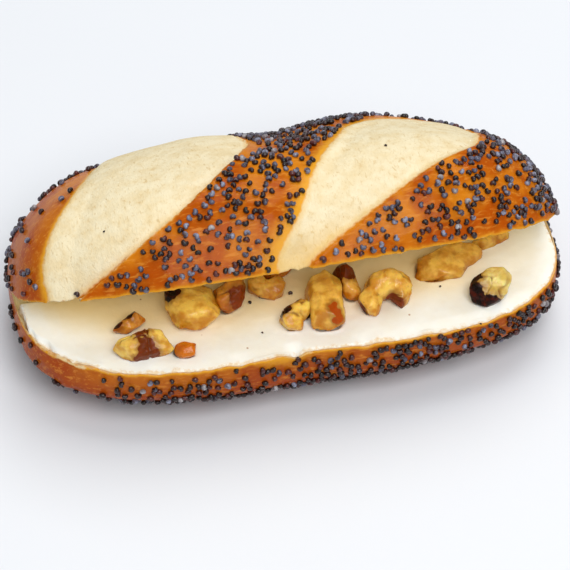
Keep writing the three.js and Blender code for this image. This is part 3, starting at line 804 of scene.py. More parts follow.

# %% [markdown]
# ## Walnut pieces
# Chopped walnut breaks into knobs that run together, with creases where the kernel folded and
# patches of dark skin. Metaballs would give the same look but no say over the size. Here each piece
# is a few soft balls added up: a point is inside where their pull is above 1, and the surface is
# found along rays from the middle, then creased by a fine grain. Skin patches are balls too.
#
# For each piece: its place, its turn in degrees, how square its balls are, how brown it is, how
# much painted shade darkens its foot, its balls as a middle and three half widths, and its skin
# balls as a middle and a radius. Some have a seam, a russet skin, or fewer creases.

# %% Sizes of the walnut pieces
SPREAD_TOP = 0.35
NUT_SUNK = 0.5
NUT_LUMP, NUT_LUMP_LENGTH, NUT_SIZE, NUT_MELT = 0.12, 4.2, 3, 2
NUT_BREAKS, NUT_EDGE, NUT_GROW = 20, 0.22, 1.08
NUT_BREAK_DEPTH = (0.74, 0.97)
SEAM_WIDTH, CREASE_WIDTH, CREASE_DEPTH = 0.16, 0.09, 0.4
RIDGE_HEIGHT, NUT_THICK = 0.12, 2.2  # relief is finer on pieces thinner than NUT_THICK
RIDGES, CREASES, CREASED_PARTS = (1.1, 42), (2.6, 43), (2.2, 46)  # length, and what draws them
NUT_SHADED_FOOT = (-1.4, 0.1)  # the painted shade at the foot comes in between these depths
SKIN_SHIFT = 30  # moves the grain along, so that each skin has an edge of its own
NUTS = {
    "walnut_split": {
        "at": (-32.7, -22.3), "turn": -4, "square": 2.2, "tone": 0.15, "rim": 0.9, "russet": 0.3,
        "lobes": [(-2.6, 0, 1.4, 3.1, 2.4, 2.3), (0, 0.2, 1.9, 3, 2.7, 2.6), (2.7, 0, 1.4, 3, 2.2, 2)],
        "seam": 0.7,
        "skins": [
            (0.2, -2.6, 1.2, 2.7), (-0.1, -1.0, 2.8, 2.2), (-0.2, 1.0, 3.7, 1.6), (0.2, 2.2, 3.6, 0.9),
        ],
    },
    "walnut_chip_left": {
        "at": (-34.2, -15.4), "turn": 18, "square": 2.0, "tone": 0.7, "rim": 0.9,
        "lobes": [(-0.6, 0, 1, 3, 1.3, 1.3), (1, 0.5, 1.3, 2.2, 1.2, 1.5)],
        "skins": [(0.2, 1.6, 2.4, 1.7), (-2.6, 0.4, 1.8, 1.1)],
    },
    "walnut_amber": {
        "at": (-25.1, -24.5), "turn": -14, "square": 2.4, "tone": 1.0, "rim": 0.3,
        "lobes": [(0, 0, 0.9, 2.2, 1.7, 1.5)],
        "skins": [(-2.4, -0.4, 0.2, 1.3)],
    },
    "walnut_block": {
        "at": (-21.8, -14.1), "turn": 5, "square": 3.4, "tone": 0.3, "rim": 0.15, "creased": 0.4,
        "lobes": [(0.3, 0, 2, 4.7, 4.6, 3.1), (-3, 2.2, 3.4, 2, 1.8, 1.5)],
        "skins": [(-3.2, 2.6, 4.6, 2.1)],
    },
    "walnut_brown": {
        "at": (-13.6, -12.8), "turn": 2, "square": 2.6, "tone": 0.7, "rim": 0.6, "russet": 0.4,
        "lobes": [(-1.4, -0.6, 1.4, 1.7, 3, 2.3), (0.8, 0.2, 2.3, 2, 3.3, 3.1)],
        "skins": [(1.6, -1.8, 2.6, 2.9), (0.8, 2.4, 4.4, 2.2), (-2.2, -2.2, 0.6, 1.2)],
    },
    "walnut_bent": {
        "at": (-5.9, -12.2), "turn": -22, "square": 2.2, "tone": 0.5, "rim": 0.4,
        "lobes": [(-2.2, 1.1, 1.4, 2.1, 2, 2.1), (0, -0.4, 1.2, 2.2, 1.7, 1.7), (2, 0.2, 1.4, 2, 2, 2)],
        "skins": [(-0.4, -2.4, -0.2, 1.0)],
    },
    "walnut_under_rim": {
        "at": (-3, -6.8), "turn": 6, "square": 2.2, "tone": 0.8, "rim": 0.3,
        "lobes": [(0, 0, 0.9, 4, 1.8, 1.6)],
        "skins": [(3.4, -0.6, 0.4, 0.9)],
    },
    "walnut_corner": {
        "at": (-1.9, -20.9), "turn": 12, "square": 2.4, "tone": 0.2, "rim": 0.6,
        "lobes": [(-1.4, -0.7, 1.5, 1.9, 2.3, 2.3), (0.9, 0.8, 1.8, 2.2, 2.1, 2.3)],
        "skins": [(-2.4, 1.0, 3.2, 1.9), (3.0, -1.2, 0.4, 1.9), (0.4, 2.4, 3.7, 1.2)],
    },
    "walnut_tall": {
        "at": (4.4, -18.8), "turn": -6, "square": 5.0, "tone": 0.4, "rim": 0.2,
        "russet": 0.85, "creased": 0.2,
        "lobes": [(0, 0, 1.9, 3.1, 6.6, 3.1)],
        "skins": [(1.3, -5.2, 4.3, 1.25), (1.1, -4.1, 5.0, 1.0), (1.6, -6.0, 3.0, 1.0)],
    },
    "walnut_dark_top": {
        "at": (9.9, -14.2), "turn": 4, "square": 2.3, "tone": 0.5, "rim": 0.7, "russet": 0.25,
        "lobes": [(-0.1, 1, 2.6, 1.7, 2.9, 3.7), (0.3, -2.2, 1.1, 1.8, 2.6, 2.1)],
        "skins": [(-0.3, 1.2, 4.6, 3.3), (-1.6, -0.8, 2.8, 1.6)],
    },
    "walnut_arch": {
        "at": (16.3, -19.2), "turn": -6, "square": 2.1, "tone": 0.35, "rim": 0.7, "russet": 0.3,
        "lobes": [
            (-2.9, -2.2, 1.6, 2.2, 3, 2.6),
            (0.1, 1.7, 2.7, 3.2, 3, 3.3),
            (3.6, -0.4, 1.7, 1.9, 3.2, 2.6),
        ],
        "skins": [(1.9, -2.6, 1.4, 2.2), (-4.9, -2.2, 0.3, 1.4), (-3.3, 0.8, 4.4, 0.5)],
    },
    "walnut_flat": {
        "at": (31, -13), "turn": 9, "square": 2.6, "tone": 0.42, "rim": 0.5, "creased": 0.35,
        "lobes": [(-1.9, -0.3, 1, 5.1, 4.1, 2), (4.3, 0.6, 1.2, 3.4, 2.5, 1.9)],
        "skins": [(8.0, 0.6, 0.8, 1.3), (-7.4, 0.4, 0.6, 1.2)],
    },
    "walnut_back_right": {
        "at": (41.7, -8.9), "turn": 14, "square": 2.0, "tone": 0.45, "rim": 0.3, "creased": 0.6,
        "lobes": [(-1.3, 0, 0.8, 2.7, 1.6, 1.5), (2, 0.2, 0.7, 2.4, 1.3, 1.3)],
        "skins": [],
    },
    "walnut_half_dark": {
        "at": (37.6, -22.3), "turn": -30, "square": 2.9, "tone": 0.05, "rim": 0.95,
        "lobes": [(0.4, 0.9, 1.9, 3.1, 2.7, 2.9), (-0.6, -1.7, 1.3, 2.6, 2.3, 2.2)],
        "skins": [(-2.8, -2.0, 1.0, 3.5), (0.6, -3.8, 0.0, 3.1), (-3.0, 1.4, 2.2, 1.8)],
    },
}


# %% The pull of a piece, and its surface
def nut_pull(nut, local, square):
    """The sum over the balls of exp(2 (1 - n)), n being |x/a|^p + |y/b|^p + |z/c|^p from a ball's
    middle: above 1 inside. A higher power p makes a squarer knob."""
    total = 0
    for x, y, z, a, b, c in nut["lobes"]:
        near = (np.abs((local - (x, y, z)) / (a, b, c)) ** square).sum(-1)
        total = total + np.exp(NUT_MELT * (1 - near))
    return total


def nut_turn(nut):
    """The matrix that turns a piece about the upright, by its angle."""
    c, s = math.cos(math.radians(nut["turn"])), math.sin(math.radians(nut["turn"]))
    return np.array([[c, -s, 0], [s, c, 0], [0, 0, 1]])


def nut_surface(nut, towards, draw):
    """The surface along each direction from the middle of the balls, by halving an interval. Then
    flat breaks: the least of h / (ray . n) over several planes with normal n and distance h, with a
    soft minimum that rounds their edges. Fine lumps and creases come from the grain."""
    lobes = np.array(nut["lobes"])
    middle = lobes[:, :3].mean(0)
    reach = (np.abs(lobes[:, :3]) + lobes[:, 3:]).max(0)
    ray = towards * reach
    ray = ray / np.linalg.norm(ray, axis=-1, keepdims=True)

    def inside(distance):
        return nut_pull(nut, ray * distance[..., None] + middle, nut["square"]) > 1

    near = halved(inside, ray.shape[:-1], 4.0 * NUT_SIZE, 22)
    spot = ray * NUT_SIZE
    lump = 1 + NUT_LUMP * waves(spot[..., 0] + lobes[0, 3], spot[..., 1], spot[..., 2], NUT_LUMP_LENGTH)
    near = near * lump * NUT_GROW
    breaks = np.random.RandomState(draw)
    normals = breaks.normal(0, 1, (NUT_BREAKS, 3))
    normals /= np.linalg.norm(normals, axis=1, keepdims=True)
    facing = ray @ normals.T
    reaches = (near[..., None] * facing).max((0, 1)) * breaks.uniform(*NUT_BREAK_DEPTH, NUT_BREAKS)
    broken = (reaches / np.maximum(facing, 1e-3)).min(-1)
    round_edge = np.maximum(NUT_EDGE - np.abs(near - broken), 0) / NUT_EDGE
    near = np.minimum(near, broken) - round_edge**2 * NUT_EDGE / 4
    rough = ray * near[..., None] + middle
    here = rough + (nut["at"][0], nut["at"][1], 0)
    fine = grained(0, here, "kernel") + RIDGE_HEIGHT * (1 - 2 * np.abs(grain(here, *RIDGES)))
    crease = bell(grain(here, *CREASES), 0, CREASE_WIDTH)
    crease = crease * smoothstep(grain(here, *CREASED_PARTS), -0.1, 0.4)
    if "seam" in nut:
        crease = np.maximum(crease, bell(rough[..., 0], nut["seam"], SEAM_WIDTH))
    crease = crease * nut.get("creased", 1.0)
    size = min(1.0, reach.min() / NUT_THICK)
    return rough + ray * (size * (fine - CREASE_DEPTH * crease))[..., None], crease


def skin_depth(nut, local):
    """The largest, over the skin balls, of radius - distance from the ball's middle, in mm, made
    uneven by grain: above 0 the kernel still wears its skin, just below 0 it is stained by it."""
    depth = np.full(local.shape[:-1], -9.0)
    for x, y, z, radius in nut["skins"]:
        depth = np.maximum(depth, radius - np.linalg.norm(local - (x, y, z), axis=-1))
    return grained(depth, local + SKIN_SHIFT, "skin edge")


# %% Build the walnut pieces
NUT_AROUND, NUT_DOWN = 84, 52
nut_down = np.linspace(0, math.pi, NUT_DOWN + 1)[:, None]
nut_round = np.linspace(0, 2 * math.pi, NUT_AROUND, endpoint=False)[None]
nut_rays = np.stack(
    [
        np.sin(nut_down) * np.cos(nut_round),
        np.sin(nut_down) * np.sin(nut_round),
        np.cos(nut_down) + 0 * nut_round,
    ],
    -1,
)
nut_pieces = {}
for number, (name, nut) in enumerate(NUTS.items()):
    local, crease = nut_surface(nut, nut_rays, number + 61)
    local[..., 2] = np.maximum(local[..., 2], -NUT_SUNK)
    skins = skin_depth(nut, local)
    # How far down the foot a point is, times the piece's rim share: the finish darkens it there as painted
    # shade.
    low = smoothstep(-local[..., 2], *NUT_SHADED_FOOT) * nut["rim"]
    placed = local @ nut_turn(nut).T + (nut["at"][0], nut["at"][1] - MIDDLE, CUT_LEVEL + SPREAD_TOP)
    # `up` rises to 1 at the top of a piece; the finish paints the top paler with it, as painted light.
    numbers = {"skin": skins, "crease": crease, "low": low, "up": local[..., 2] / local[..., 2].max()}
    for key in ("tone", "russet"):
        numbers[key] = np.full(skins.shape, float(nut.get(key, 0)))
    inner = {key: value[1:-1] for key, value in numbers.items()}
    piece = closed_loft(name + "_piece", placed[1:-1], placed[0].mean(0), placed[-1].mean(0), inner)
    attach(piece, "root")
    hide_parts(name)
    nut_pieces[name] = piece

# %% [markdown]
# ## The spread
# Soft white cheese was laid over the lower half and pressed flat by the knife. It swells a little,
# its edge is round and wanders in and out along the crumb, and it dips and rises where the walnut
# was pushed in. At the back of the left end it is heaped up a little. It is one closed sheet: a top
# worked out on a grid, and an underside that follows the dish of the bread a hair above it.

# %% Build the spread
SPREAD_INSET, SPREAD_BACK, SPREAD_GAP = 0.3, 4, 0.1
SPREAD_WAVE, SPREAD_WAVE_LENGTH, SPREAD_LIP = 0.3, 13, 0.55
SPREAD_COLUMNS, SPREAD_ROWS, SPREAD_UNDER = 640, 118, 14
SPREAD_ENDS = math.radians(84)  # the lean of its first and last column
SPREAD_THIN, SPREAD_TIP, SPREAD_SAG = 0.12, 0.25, 3.5
SPREAD_FOOT = 0.15  # the share of its height that it keeps at the very edge
TORN_INSET, TORN_LIP, TORN_SLOPE = 0.4, 1.3, 0.5  # what is added at the torn left end
HEAP, HEAP_ALONG, HEAP_DEEP = 1.4, (34, 46), (-17, -6)
NUT_DENT, NUT_RISE = 0.35, 0.25


def bread_floor(x, y):
    """The height of the lower cut face under each row of points that share one x: the two nearest
    columns of the face give it as a function of y, and it is blended between them."""
    place = np.interp(x, lower_calm[:, 0], np.arange(len(leans)))
    first = np.minimum(place.astype(int), len(leans) - 2)
    blend = (place - first)[:, None]
    heights = [
        np.stack([np.interp(row, lower[k, :, 1], lower[k, :, 2]) for row, k in zip(y, first + step)])
        for step in (0, 1)
    ]
    return heights[0] * (1 - blend) + heights[1] * blend


def spread_top(x, y):
    """Slow waves, knife marks, fine grain and the heap at the back of the left end, dented under
    each walnut piece and raised round it."""
    flat = np.stack([x, y, 0 * x], -1)
    height = CUT_LEVEL + SPREAD_TOP + SPREAD_WAVE * waves(x, y + MIDDLE, 0, SPREAD_WAVE_LENGTH)
    height = grained(height, flat, "spread top")
    height = height + HEAP * smoothstep(-x, *HEAP_ALONG) * smoothstep(y, *HEAP_DEEP)
    for nut in NUTS.values():
        local = (flat - (nut["at"][0], nut["at"][1] - MIDDLE, 0)) @ nut_turn(nut)
        pull = nut_pull(nut, local, nut["square"])
        dent = smoothstep(pull, 1.1, 2.2)
        height = height + NUT_RISE * smoothstep(pull, 0.1, 1.1) * (1 - dent) - (NUT_SUNK + NUT_DENT) * dent
    return height


spread_leans = even_leans(SPREAD_COLUMNS)
spread_leans = spread_leans[np.abs(spread_leans) < SPREAD_ENDS][::2]
rim = crust_point(spread_leans, -180.0, fine=False)
left_share = smoothstep(-rim[:, 0], *TORN_END)
inset = grained(SPREAD_INSET, rim, "spread edge")
inset = inset + grained(TORN_INSET, rim, "torn spread") * left_share
edge = rim - inset[:, None] * direction(spread_leans, math.pi)
edge[:, 0] = np.maximum.accumulate(edge[:, 0])
front, back = edge[:, 1], HINGE - MIDDLE - SPREAD_BACK
depth = back - front
share = np.linspace(0, 1, SPREAD_ROWS)[None]
share = 0.5 * share + 0.5 * (1 - np.cos(math.pi * share)) / 2
x_top = np.broadcast_to(edge[:, :1], (len(depth), SPREAD_ROWS))
y_top = front[:, None] + depth[:, None] * share
floor_z = bread_floor(edge[:, 0], y_top) + SPREAD_GAP

# %% [markdown]
# At its edge the spread thins out to a lip with a round section, and its top follows the dips of
# the rim. The numbers kept at each point say how near the edge and how deep in the mouth it lies.

# %% Its edge, its underside and its tips
from_front = y_top - front[:, None]
from_edge = np.minimum(from_front, back - y_top)
side = np.clip(1 - from_edge / (SPREAD_LIP + TORN_LIP * left_share[:, None]), 0, 1)
tip_gap = np.minimum(edge[:, 0] - edge[0, 0], edge[-1, 0] - edge[:, 0])[:, None]
side = np.maximum(side, np.clip(1 - tip_gap / SPREAD_LIP, 0, 1))
swell = (1 - side**2) ** (0.5 + TORN_SLOPE * left_share[:, None])
sag = rim_notch(rim[:, 0])[:, None] * (1 - smoothstep(inset[:, None] + from_front, 0, SPREAD_SAG))
sagged_top = spread_top(x_top, y_top) - sag
top_z = floor_z + (sagged_top - floor_z) * (SPREAD_FOOT + (1 - SPREAD_FOOT) * swell)
top_z = np.maximum(floor_z + SPREAD_THIN, top_z)
top = np.stack([x_top, y_top, top_z], -1)
y_under = front[:, None] + depth[:, None] * np.linspace(1, 0, SPREAD_UNDER)[None]
under_z = bread_floor(edge[:, 0], y_under) + SPREAD_GAP
under = np.stack([np.broadcast_to(edge[:, :1], y_under.shape), y_under, under_z], -1)
spread_rings = np.concatenate([top, under], axis=1)
tip_y = (front + back) / 2
left_tip = np.array([edge[0, 0] - SPREAD_TIP, tip_y[0], spread_rings[0, :, 2].mean()])
right_tip = np.array([edge[-1, 0] + SPREAD_TIP, tip_y[-1], spread_rings[-1, :, 2].mean()])
edge_gap = np.minimum(from_front, tip_gap)
numbers = {
    "edge": np.concatenate([edge_gap, 0 * y_under], axis=1),
    "back": np.concatenate([y_top, y_under], axis=1) - front[:, None],
}
spread = closed_loft("spread_layer", spread_rings, left_tip, right_tip, numbers)
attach(spread, "root")
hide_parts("spread")
print("spread, thinnest at an edge:", round(float((top_z - floor_z).min()), 2), "mm")

# %% [markdown]
# ## Strays
# Cutting and filling shook a few seeds loose: they lie on the spread and on the pale slashes, with
# tiny crumbs of walnut. They are more copies of the one seed, at places named one by one.

# %% Loose seeds and crumbs
ON_SPREAD = np.array([  # millimetres across and along, and the size beside a whole seed
    (-1.2, -13.9, 0.72), (-9.7, -14.6, 0.6), (33.4, -30.8, 0.36), (28.4, -19.2, 0.4), (-9.2, -23.1, 0.35),
])
ON_CRUST = np.array([(-46.6, 177.2, 0.95), (24.0, 133, 0.45), (-40.5, 150, 0.35)])  # x, angle, size
STRAY_SINK = 0.1
flat_places = np.column_stack([ON_SPREAD[:, :2], spread_top(ON_SPREAD[:, 0], ON_SPREAD[:, 1])])
stray_leans = np.interp(ON_CRUST[:, 0], lower_calm[:, 0], leans)
crust_places, crust_normals, _ = crust_frame(stray_leans, ON_CRUST[:, 1])
stray_places = np.concatenate([flat_places, crust_places])
stray_normals = np.concatenate([np.tile([0, 0, 1.0], (len(flat_places), 1)), crust_normals])
stray_sizes = np.concatenate([ON_SPREAD[:, 2], ON_CRUST[:, 2]])
stray_spins = chance.uniform(0, 2 * math.pi, len(stray_sizes))
stray_sink = STRAY_SINK * stray_sizes
stray = seed_piece("seeds_stray", stray_places, stray_normals, stray_spins, stray_sizes, stray_sink)
seed_pieces["seeds_stray"] = stray

# %% [markdown]
# ## Writing a finish as sums
# A finish is a sum of noises and masks, and a sum reads best as a sum. One small class wraps a
# socket, so that 1 - mask adds a Math node by itself. Colours and vectors have nodes of their own,
# and every other node is made by one method.


# %% Sockets as numbers
class Signal:
    """A socket of a node tree that can be added, multiplied and compared like a number."""

    def __init__(self, finish, socket):
        self.finish, self.socket = finish, socket

    def _math(self, operation, first, second):
        """The result of one Math node."""
        return self.finish.node("ShaderNodeMath", {"operation": operation}, {0: first, 1: second})

    def __add__(self, other):
        return self._math("ADD", self, other)

    __radd__ = __add__

    def __mul__(self, other):
        return self._math("MULTIPLY", self, other)

    __rmul__ = __mul__

    def __sub__(self, other):
        return self._math("SUBTRACT", self, other)

    def __rsub__(self, other):
        return self._math("SUBTRACT", other, self)

    def larger(self, other):
        """The larger of the two."""
        return self._math("MAXIMUM", self, other)

    def between(self, low, high):
        """0 below low, 1 above high, an S-curve between."""
        values = {"Value": self, "From Min": low, "From Max": high}
        return self.finish.node("ShaderNodeMapRange", {"interpolation_type": "SMOOTHSTEP"}, values)


class Finish:
    """A material, and the nodes that paint it."""

    def __init__(self, name, **constants):
        self.material = bpy.data.materials.new(name)
        self.material.use_nodes = True
        self.tree = self.material.node_tree
        self.shader = self.tree.nodes["Principled BSDF"]
        for key, value in constants.items():
            self.shader.inputs[key.replace("_", " ")].default_value = value
        self.place = self.node("ShaderNodeTexCoord", {}, {}, "Object")

    def node(self, kind, settings, values, output=0):
        """A node of that kind: its settings first, then the values or links of its sockets."""
        made = self.tree.nodes.new(kind)
        for key, value in settings.items():
            setattr(made, key, value)
        for key, value in values.items():
            if isinstance(value, Signal):
                self.tree.links.new(value.socket, made.inputs[key])
            else:
                made.inputs[key].default_value = value
        return Signal(self, made.outputs[output])

    def number(self, name):
        """A number kept at each point of the mesh."""
        return self.node("ShaderNodeAttribute", {"attribute_name": name}, {}, "Fac")

    def noise(self, size, detail=2.0, rough=0.5, squeeze=None, warp=0.0):
        """Smooth noise with features `size` mm wide, drawn out along an axis by `squeeze`."""
        place = self.place
        if squeeze:
            place = self.node("ShaderNodeVectorMath", {"operation": "MULTIPLY"}, {0: place, 1: squeeze})
        values = {"Vector": place, "Scale": 1 / (size * MM), "Detail": detail}
        values.update({"Roughness": rough, "Distortion": warp})
        return self.node("ShaderNodeTexNoise", {}, values)

    def cells(self, size):
        """Distance to the nearest of scattered points about `size` mm apart, as a share of that."""
        return self.node("ShaderNodeTexVoronoi", {}, {"Vector": self.place, "Scale": 1 / (size * MM)})

    def axis(self, number):
        """The place along x (0), y (1) or z (2), in metres."""
        return self.node("ShaderNodeSeparateXYZ", {}, {0: self.place}, number)

    def mix(self, share, first, second):
        """A colour between two, given as sockets or as linear (r, g, b)."""
        full = [(*c, 1.0) if isinstance(c, tuple) else c for c in (first, second)]
        values = {0: share, 6: full[0], 7: full[1]}
        return self.node("ShaderNodeMix", {"data_type": "RGBA"}, values, 2)

    def over(self, base, *layers):
        """The base colour with layers over it, one by one: each a share and a screen colour."""
        for share, *screen in layers:
            base = self.mix(share, base, colour(*screen))
        return base

    def bump(self, height, depth):
        """Relief `depth` mm deep from a height of 0 to 1."""
        values = {"Height": height, "Distance": depth * MM, "Strength": 1.0}
        return self.node("ShaderNodeBump", {}, values)

    def paint(self, **sockets):
        """Feeds the shader's sockets, named with underscores."""
        for key, value in sockets.items():
            self.tree.links.new(value.socket, self.shader.inputs[key.replace("_", " ")])


def colour(red, green, blue):
    """The linear colour for a screen colour of 0 to 255: the sRGB curve undone."""
    parts = [channel / 255 for channel in (red, green, blue)]
    return tuple(p / 12.92 if p <= 0.04045 else ((p + 0.055) / 1.055) ** 2.4 for p in parts)


# %% [markdown]
# ## The roll's finish
# Glaze bakes to a glossy brown that runs to gold where it meets a slash. The dough that opened up
# is matte and cream-coloured, with streaks along the way it tore and small tan specks. One material
# does both, because the change follows the numbers kept on the mesh. Two materials on two sets of
# faces would change in steps.

# %% Crust and crumb
bread = Finish("crust_and_crumb", Coat_Roughness=0.1, Specular_IOR_Level=0.02)
inside = bread.number("inside")
past = bread.number("past")
gold_edge = bread.number("gold")
wander = bread.noise(1.1, 3.0) - 0.5
opening = (inside + wander * 0.9).between(-0.2, 0.45)
east = bread.axis(0)
height = bread.axis(2)
torn_end = 1 - east.between(-0.05, -0.036)
cut_face = (past + wander * (1.1 + torn_end * 3.0)).between(0.0, 0.5)
crumb = opening.larger(cut_face)
slash_floor = opening * (1 - cut_face)

patches = bread.noise(9.0, 3.0, 0.6)
blisters = bread.noise(2.6, 3.0, 0.6)
darker_end = 1 - east.between(-0.056, -0.036)
above_rim = past.between(-10.0, -1.0) * height.between(0.015, 0.018)
# Darker and redder towards the base: a baked underside, and painted shade on the lower front.
low_crust = 1 - height.between(0.006, 0.021)
wrinkle = bread.noise(0.75, 3.0, 0.6, (0.28, 1.0, 1.0), 0.6)
crust_colour = bread.over(
    bread.mix(patches.between(0.36, 0.62), colour(172, 76, 0), colour(208, 123, 18)),
    (blisters.between(0.55, 0.75) * 0.45, 146, 54, 0),
    (darker_end * 0.6, 176, 66, 0),
    (above_rim * 0.4, 180, 70, 0),
    (low_crust, 156, 60, 14),
    (wrinkle.between(0.5, 0.7) * 0.6, 218, 138, 50),
    ((gold_edge * 1.2 + wander * 0.5).between(0.15, 1.0), 226, 156, 40),
)

crumb_noise = bread.noise(3.4, 4.0, 0.6)
fibres = bread.noise(0.5, 3.0, 0.6, (1.0, 0.35, 0.5), 1.0)
mottle = bread.noise(1.7, 4.0, 0.65).between(0.6, 0.74)
pits = bread.noise(0.7, 2.0, 0.5, (1.0, 0.45, 0.45), 0.5).between(0.64, 0.72)
golden_end = past.between(-9.0, -1.0) * east.between(-0.02, -0.01) * slash_floor
toasted = (inside - wander * 1.5).between(1.6, 0.2) * slash_floor
toasted_rim = (past + wander * 2.0).between(1.5, 0.3) * cut_face * (1 - opening)
baked_end = bread.noise(1.9, 4.0, 0.65).between(0.42, 0.6) * torn_end * cut_face * past.between(4.5, 2.0)
crumb_colour = bread.over(
    bread.mix(crumb_noise.between(0.35, 0.7), colour(238, 222, 188), colour(230, 208, 166)),
    (fibres.between(0.54, 0.72) * 0.5, 212, 182, 130),
    (mottle * 0.46, 206, 168, 112),
    (pits * 0.45, 196, 162, 106),
    (golden_end * 0.6, 226, 182, 96),
    (toasted * 0.45, 228, 184, 104),
    (past.between(0.5, 3.0) * 0.8, 250, 230, 178),
    (toasted_rim * 0.7, 218, 148, 56),
    (baked_end * 0.75, 206, 132, 44),
)

bread_colour = bread.mix(crumb, crust_colour, crumb_colour)
pores = bread.noise(0.9, 3.0, 0.65)
crust_relief = wrinkle * 0.6 + bread.noise(2.2, 2.0) * 0.4
relief_height = crust_relief * (1 - crumb) * 0.5 + (pores * 0.6 + fibres * 0.4) * crumb
bread.paint(
    Base_Color=bread_colour,
    Roughness=0.42 + crumb * 0.4 + wrinkle * 0.12,
    Coat_Weight=(1 - crumb) * (0.13 + low_crust * 0.2),
    Normal=bread.bump(relief_height, 0.32),
)
roll.data.materials.append(bread.material)
print("crust and crumb:", len(bread.tree.nodes), "nodes")

# %% [markdown]
# ## Seeds
# Ripe poppy seeds are slate blue with a netted surface, some nearly black, some plum. Every colour
# is one material, varied from seed to seed by a noise as wide as a seed.

# %% Seed finishes
SEED_COLOURS = {  # where it catches the light, and where it is dark
    "seeds_slate": ((106, 106, 128), (42, 22, 26)),
    "seeds_grey": ((150, 154, 178), (70, 56, 66)),
    "seeds_black": ((54, 22, 22), (17, 4, 4)),
    "seeds_plum": ((98, 38, 35), (40, 10, 8)),
    "seeds_pale_glint": ((180, 174, 176), (122, 112, 116)),
    "seeds_stray": ((74, 42, 38), (30, 12, 10)),
}
SEED_GLOSS = {"Roughness": 0.4, "Specular_IOR_Level": 0.3, "Coat_Weight": 0.5, "Coat_Roughness": 0.15}
for name, (light, dark) in SEED_COLOURS.items():
    seeds = Finish(name + "_finish", **SEED_GLOSS)
    seed_tone = seeds.noise(1.3, 2.0).between(0.38, 0.62)
    net = seeds.cells(0.22)
    seed_colour = seeds.over(
        seeds.mix(seed_tone, colour(*dark), colour(*light)),
        (net.between(0.2, 0.7) * 0.4, *dark),
    )
    seeds.paint(Base_Color=seed_colour, Normal=seeds.bump(1 - net, 0.05))
    seed_pieces[name].data.materials.append(seeds.material)

# %% [markdown]
# ## Walnut and spread
# Bare kernel is pale gold and a little translucent, darker and browner where it was roasted, and
# its skin is a thin, shiny dark brown. Each piece is painted paler on top, as painted light, darker
# at its foot as painted shade, and darker in its creases as skin and painted shade. The spread is a
# clean warm white, satin where the knife went over it, with painted warm shade deeper in the mouth.

# %% Walnut finish
kernel = Finish(
    "walnut_kernel",
    Subsurface_Weight=0.55,
    Subsurface_Scale=0.0016,
    Subsurface_Radius=(1.0, 0.62, 0.14),
    Specular_IOR_Level=0.12,
    Coat_Roughness=0.1,
)
skin = kernel.number("skin")
stain = skin.between(-1.1, 0.1)
# The creases darken, in the flesh and in the skin: brown skin in the folds, and painted shade.
crease_skin_and_shade = kernel.number("crease")
tone = kernel.number("tone")
# `low` darkens the foot of each piece and brings a few more flecks there: painted shade where the piece
# sits in the spread.
low = kernel.number("low")
blotch = kernel.noise(1.6, 3.0, 0.6)
# Paler where a slow noise says and towards the top of each piece: random tone, and painted light on the
# top.
pale_tone_and_top_light = kernel.noise(2.6, 2.0, 0.5).between(0.32, 0.68) * 0.65 + kernel.number("up") * 0.5
flecks = (kernel.noise(0.8, 3.0, 0.7) + low * 0.06).between(0.7, 0.74)
golden, browned = tone.between(0.0, 0.2), tone.between(0.15, 1.05)
pale = kernel.over(colour(240, 226, 150), (golden, 252, 211, 98), (browned, 210, 114, 8))
deep = kernel.over(colour(216, 180, 70), (golden, 204, 130, 0), (browned, 166, 66, 0))
flesh = kernel.over(
    kernel.mix(pale_tone_and_top_light.between(0.1, 1.0), deep, pale),
    (blotch.between(0.42, 0.7) * 0.35, 184, 104, 0),
    (stain * 0.65, 132, 66, 0),
    (crease_skin_and_shade * 0.7, 128, 62, 0),
    (low * 0.5, 150, 78, 0),
    (flecks * 0.8, 104, 46, 4),
)
skin_colour = kernel.over(
    kernel.mix(blotch.between(0.4, 0.7), colour(22, 5, 0), colour(80, 20, 0)),
    (crease_skin_and_shade * 0.8, 20, 6, 2),
    (kernel.number("russet"), 188, 80, 4),
)
# Painted shade: the foot, with a ragged edge, turns to the dark skin colour.
shaded_foot_rim = (low + (blotch - 0.5) * 1.8).between(0.62, 0.8)
skinned = skin.between(0.0, 0.16).larger(shaded_foot_rim)
kernel.paint(
    Base_Color=kernel.mix(skinned, flesh, skin_colour),
    Coat_Weight=0.45 - skinned * 0.33,
    Roughness=0.2 + blotch * 0.2,
    Normal=kernel.bump(kernel.noise(0.7, 3.0, 0.6), 0.16),
)
for piece in nut_pieces.values():
    piece.data.materials.append(kernel.material)

# %% Spread finish
cheese = Finish(
    "white_spread",
    Subsurface_Weight=0.1,
    Subsurface_Scale=0.0015,
    Subsurface_Radius=(1.0, 0.9, 0.7),
)
cream = cheese.noise(6.0, 3.0, 0.55)
# Deeper in the mouth the white turns tan: painted warm shade under the upper jaw, weaker at the right end.
mouth_painted_shade = cheese.number("back").between(5.0, 16.0) * (1 - 0.75 * cheese.axis(0).between(0.030, 0.042))
thin_edge = (cheese.number("edge") + (cheese.noise(1.3, 4.0, 0.65) - 0.5) * 3.4).between(0.85, -0.3)
crumbs = cheese.cells(5.0).between(0.055, 0.035)
cheese_colour = cheese.over(
    cheese.mix(cream.between(0.35, 0.7), colour(254, 251, 244), colour(251, 245, 233)),
    (mouth_painted_shade * 0.7, 252, 220, 142),
    (thin_edge * 0.65, 228, 180, 98),
    (crumbs * 0.7, 176, 120, 70),
)
cheese.paint(
    Base_Color=cheese_colour,
    Roughness=0.5 + cream * 0.15,
    Normal=cheese.bump(cheese.noise(1.2, 3.0, 0.55) * 0.6 + cream * 0.4, 0.12),
)
spread.data.materials.append(cheese.material)

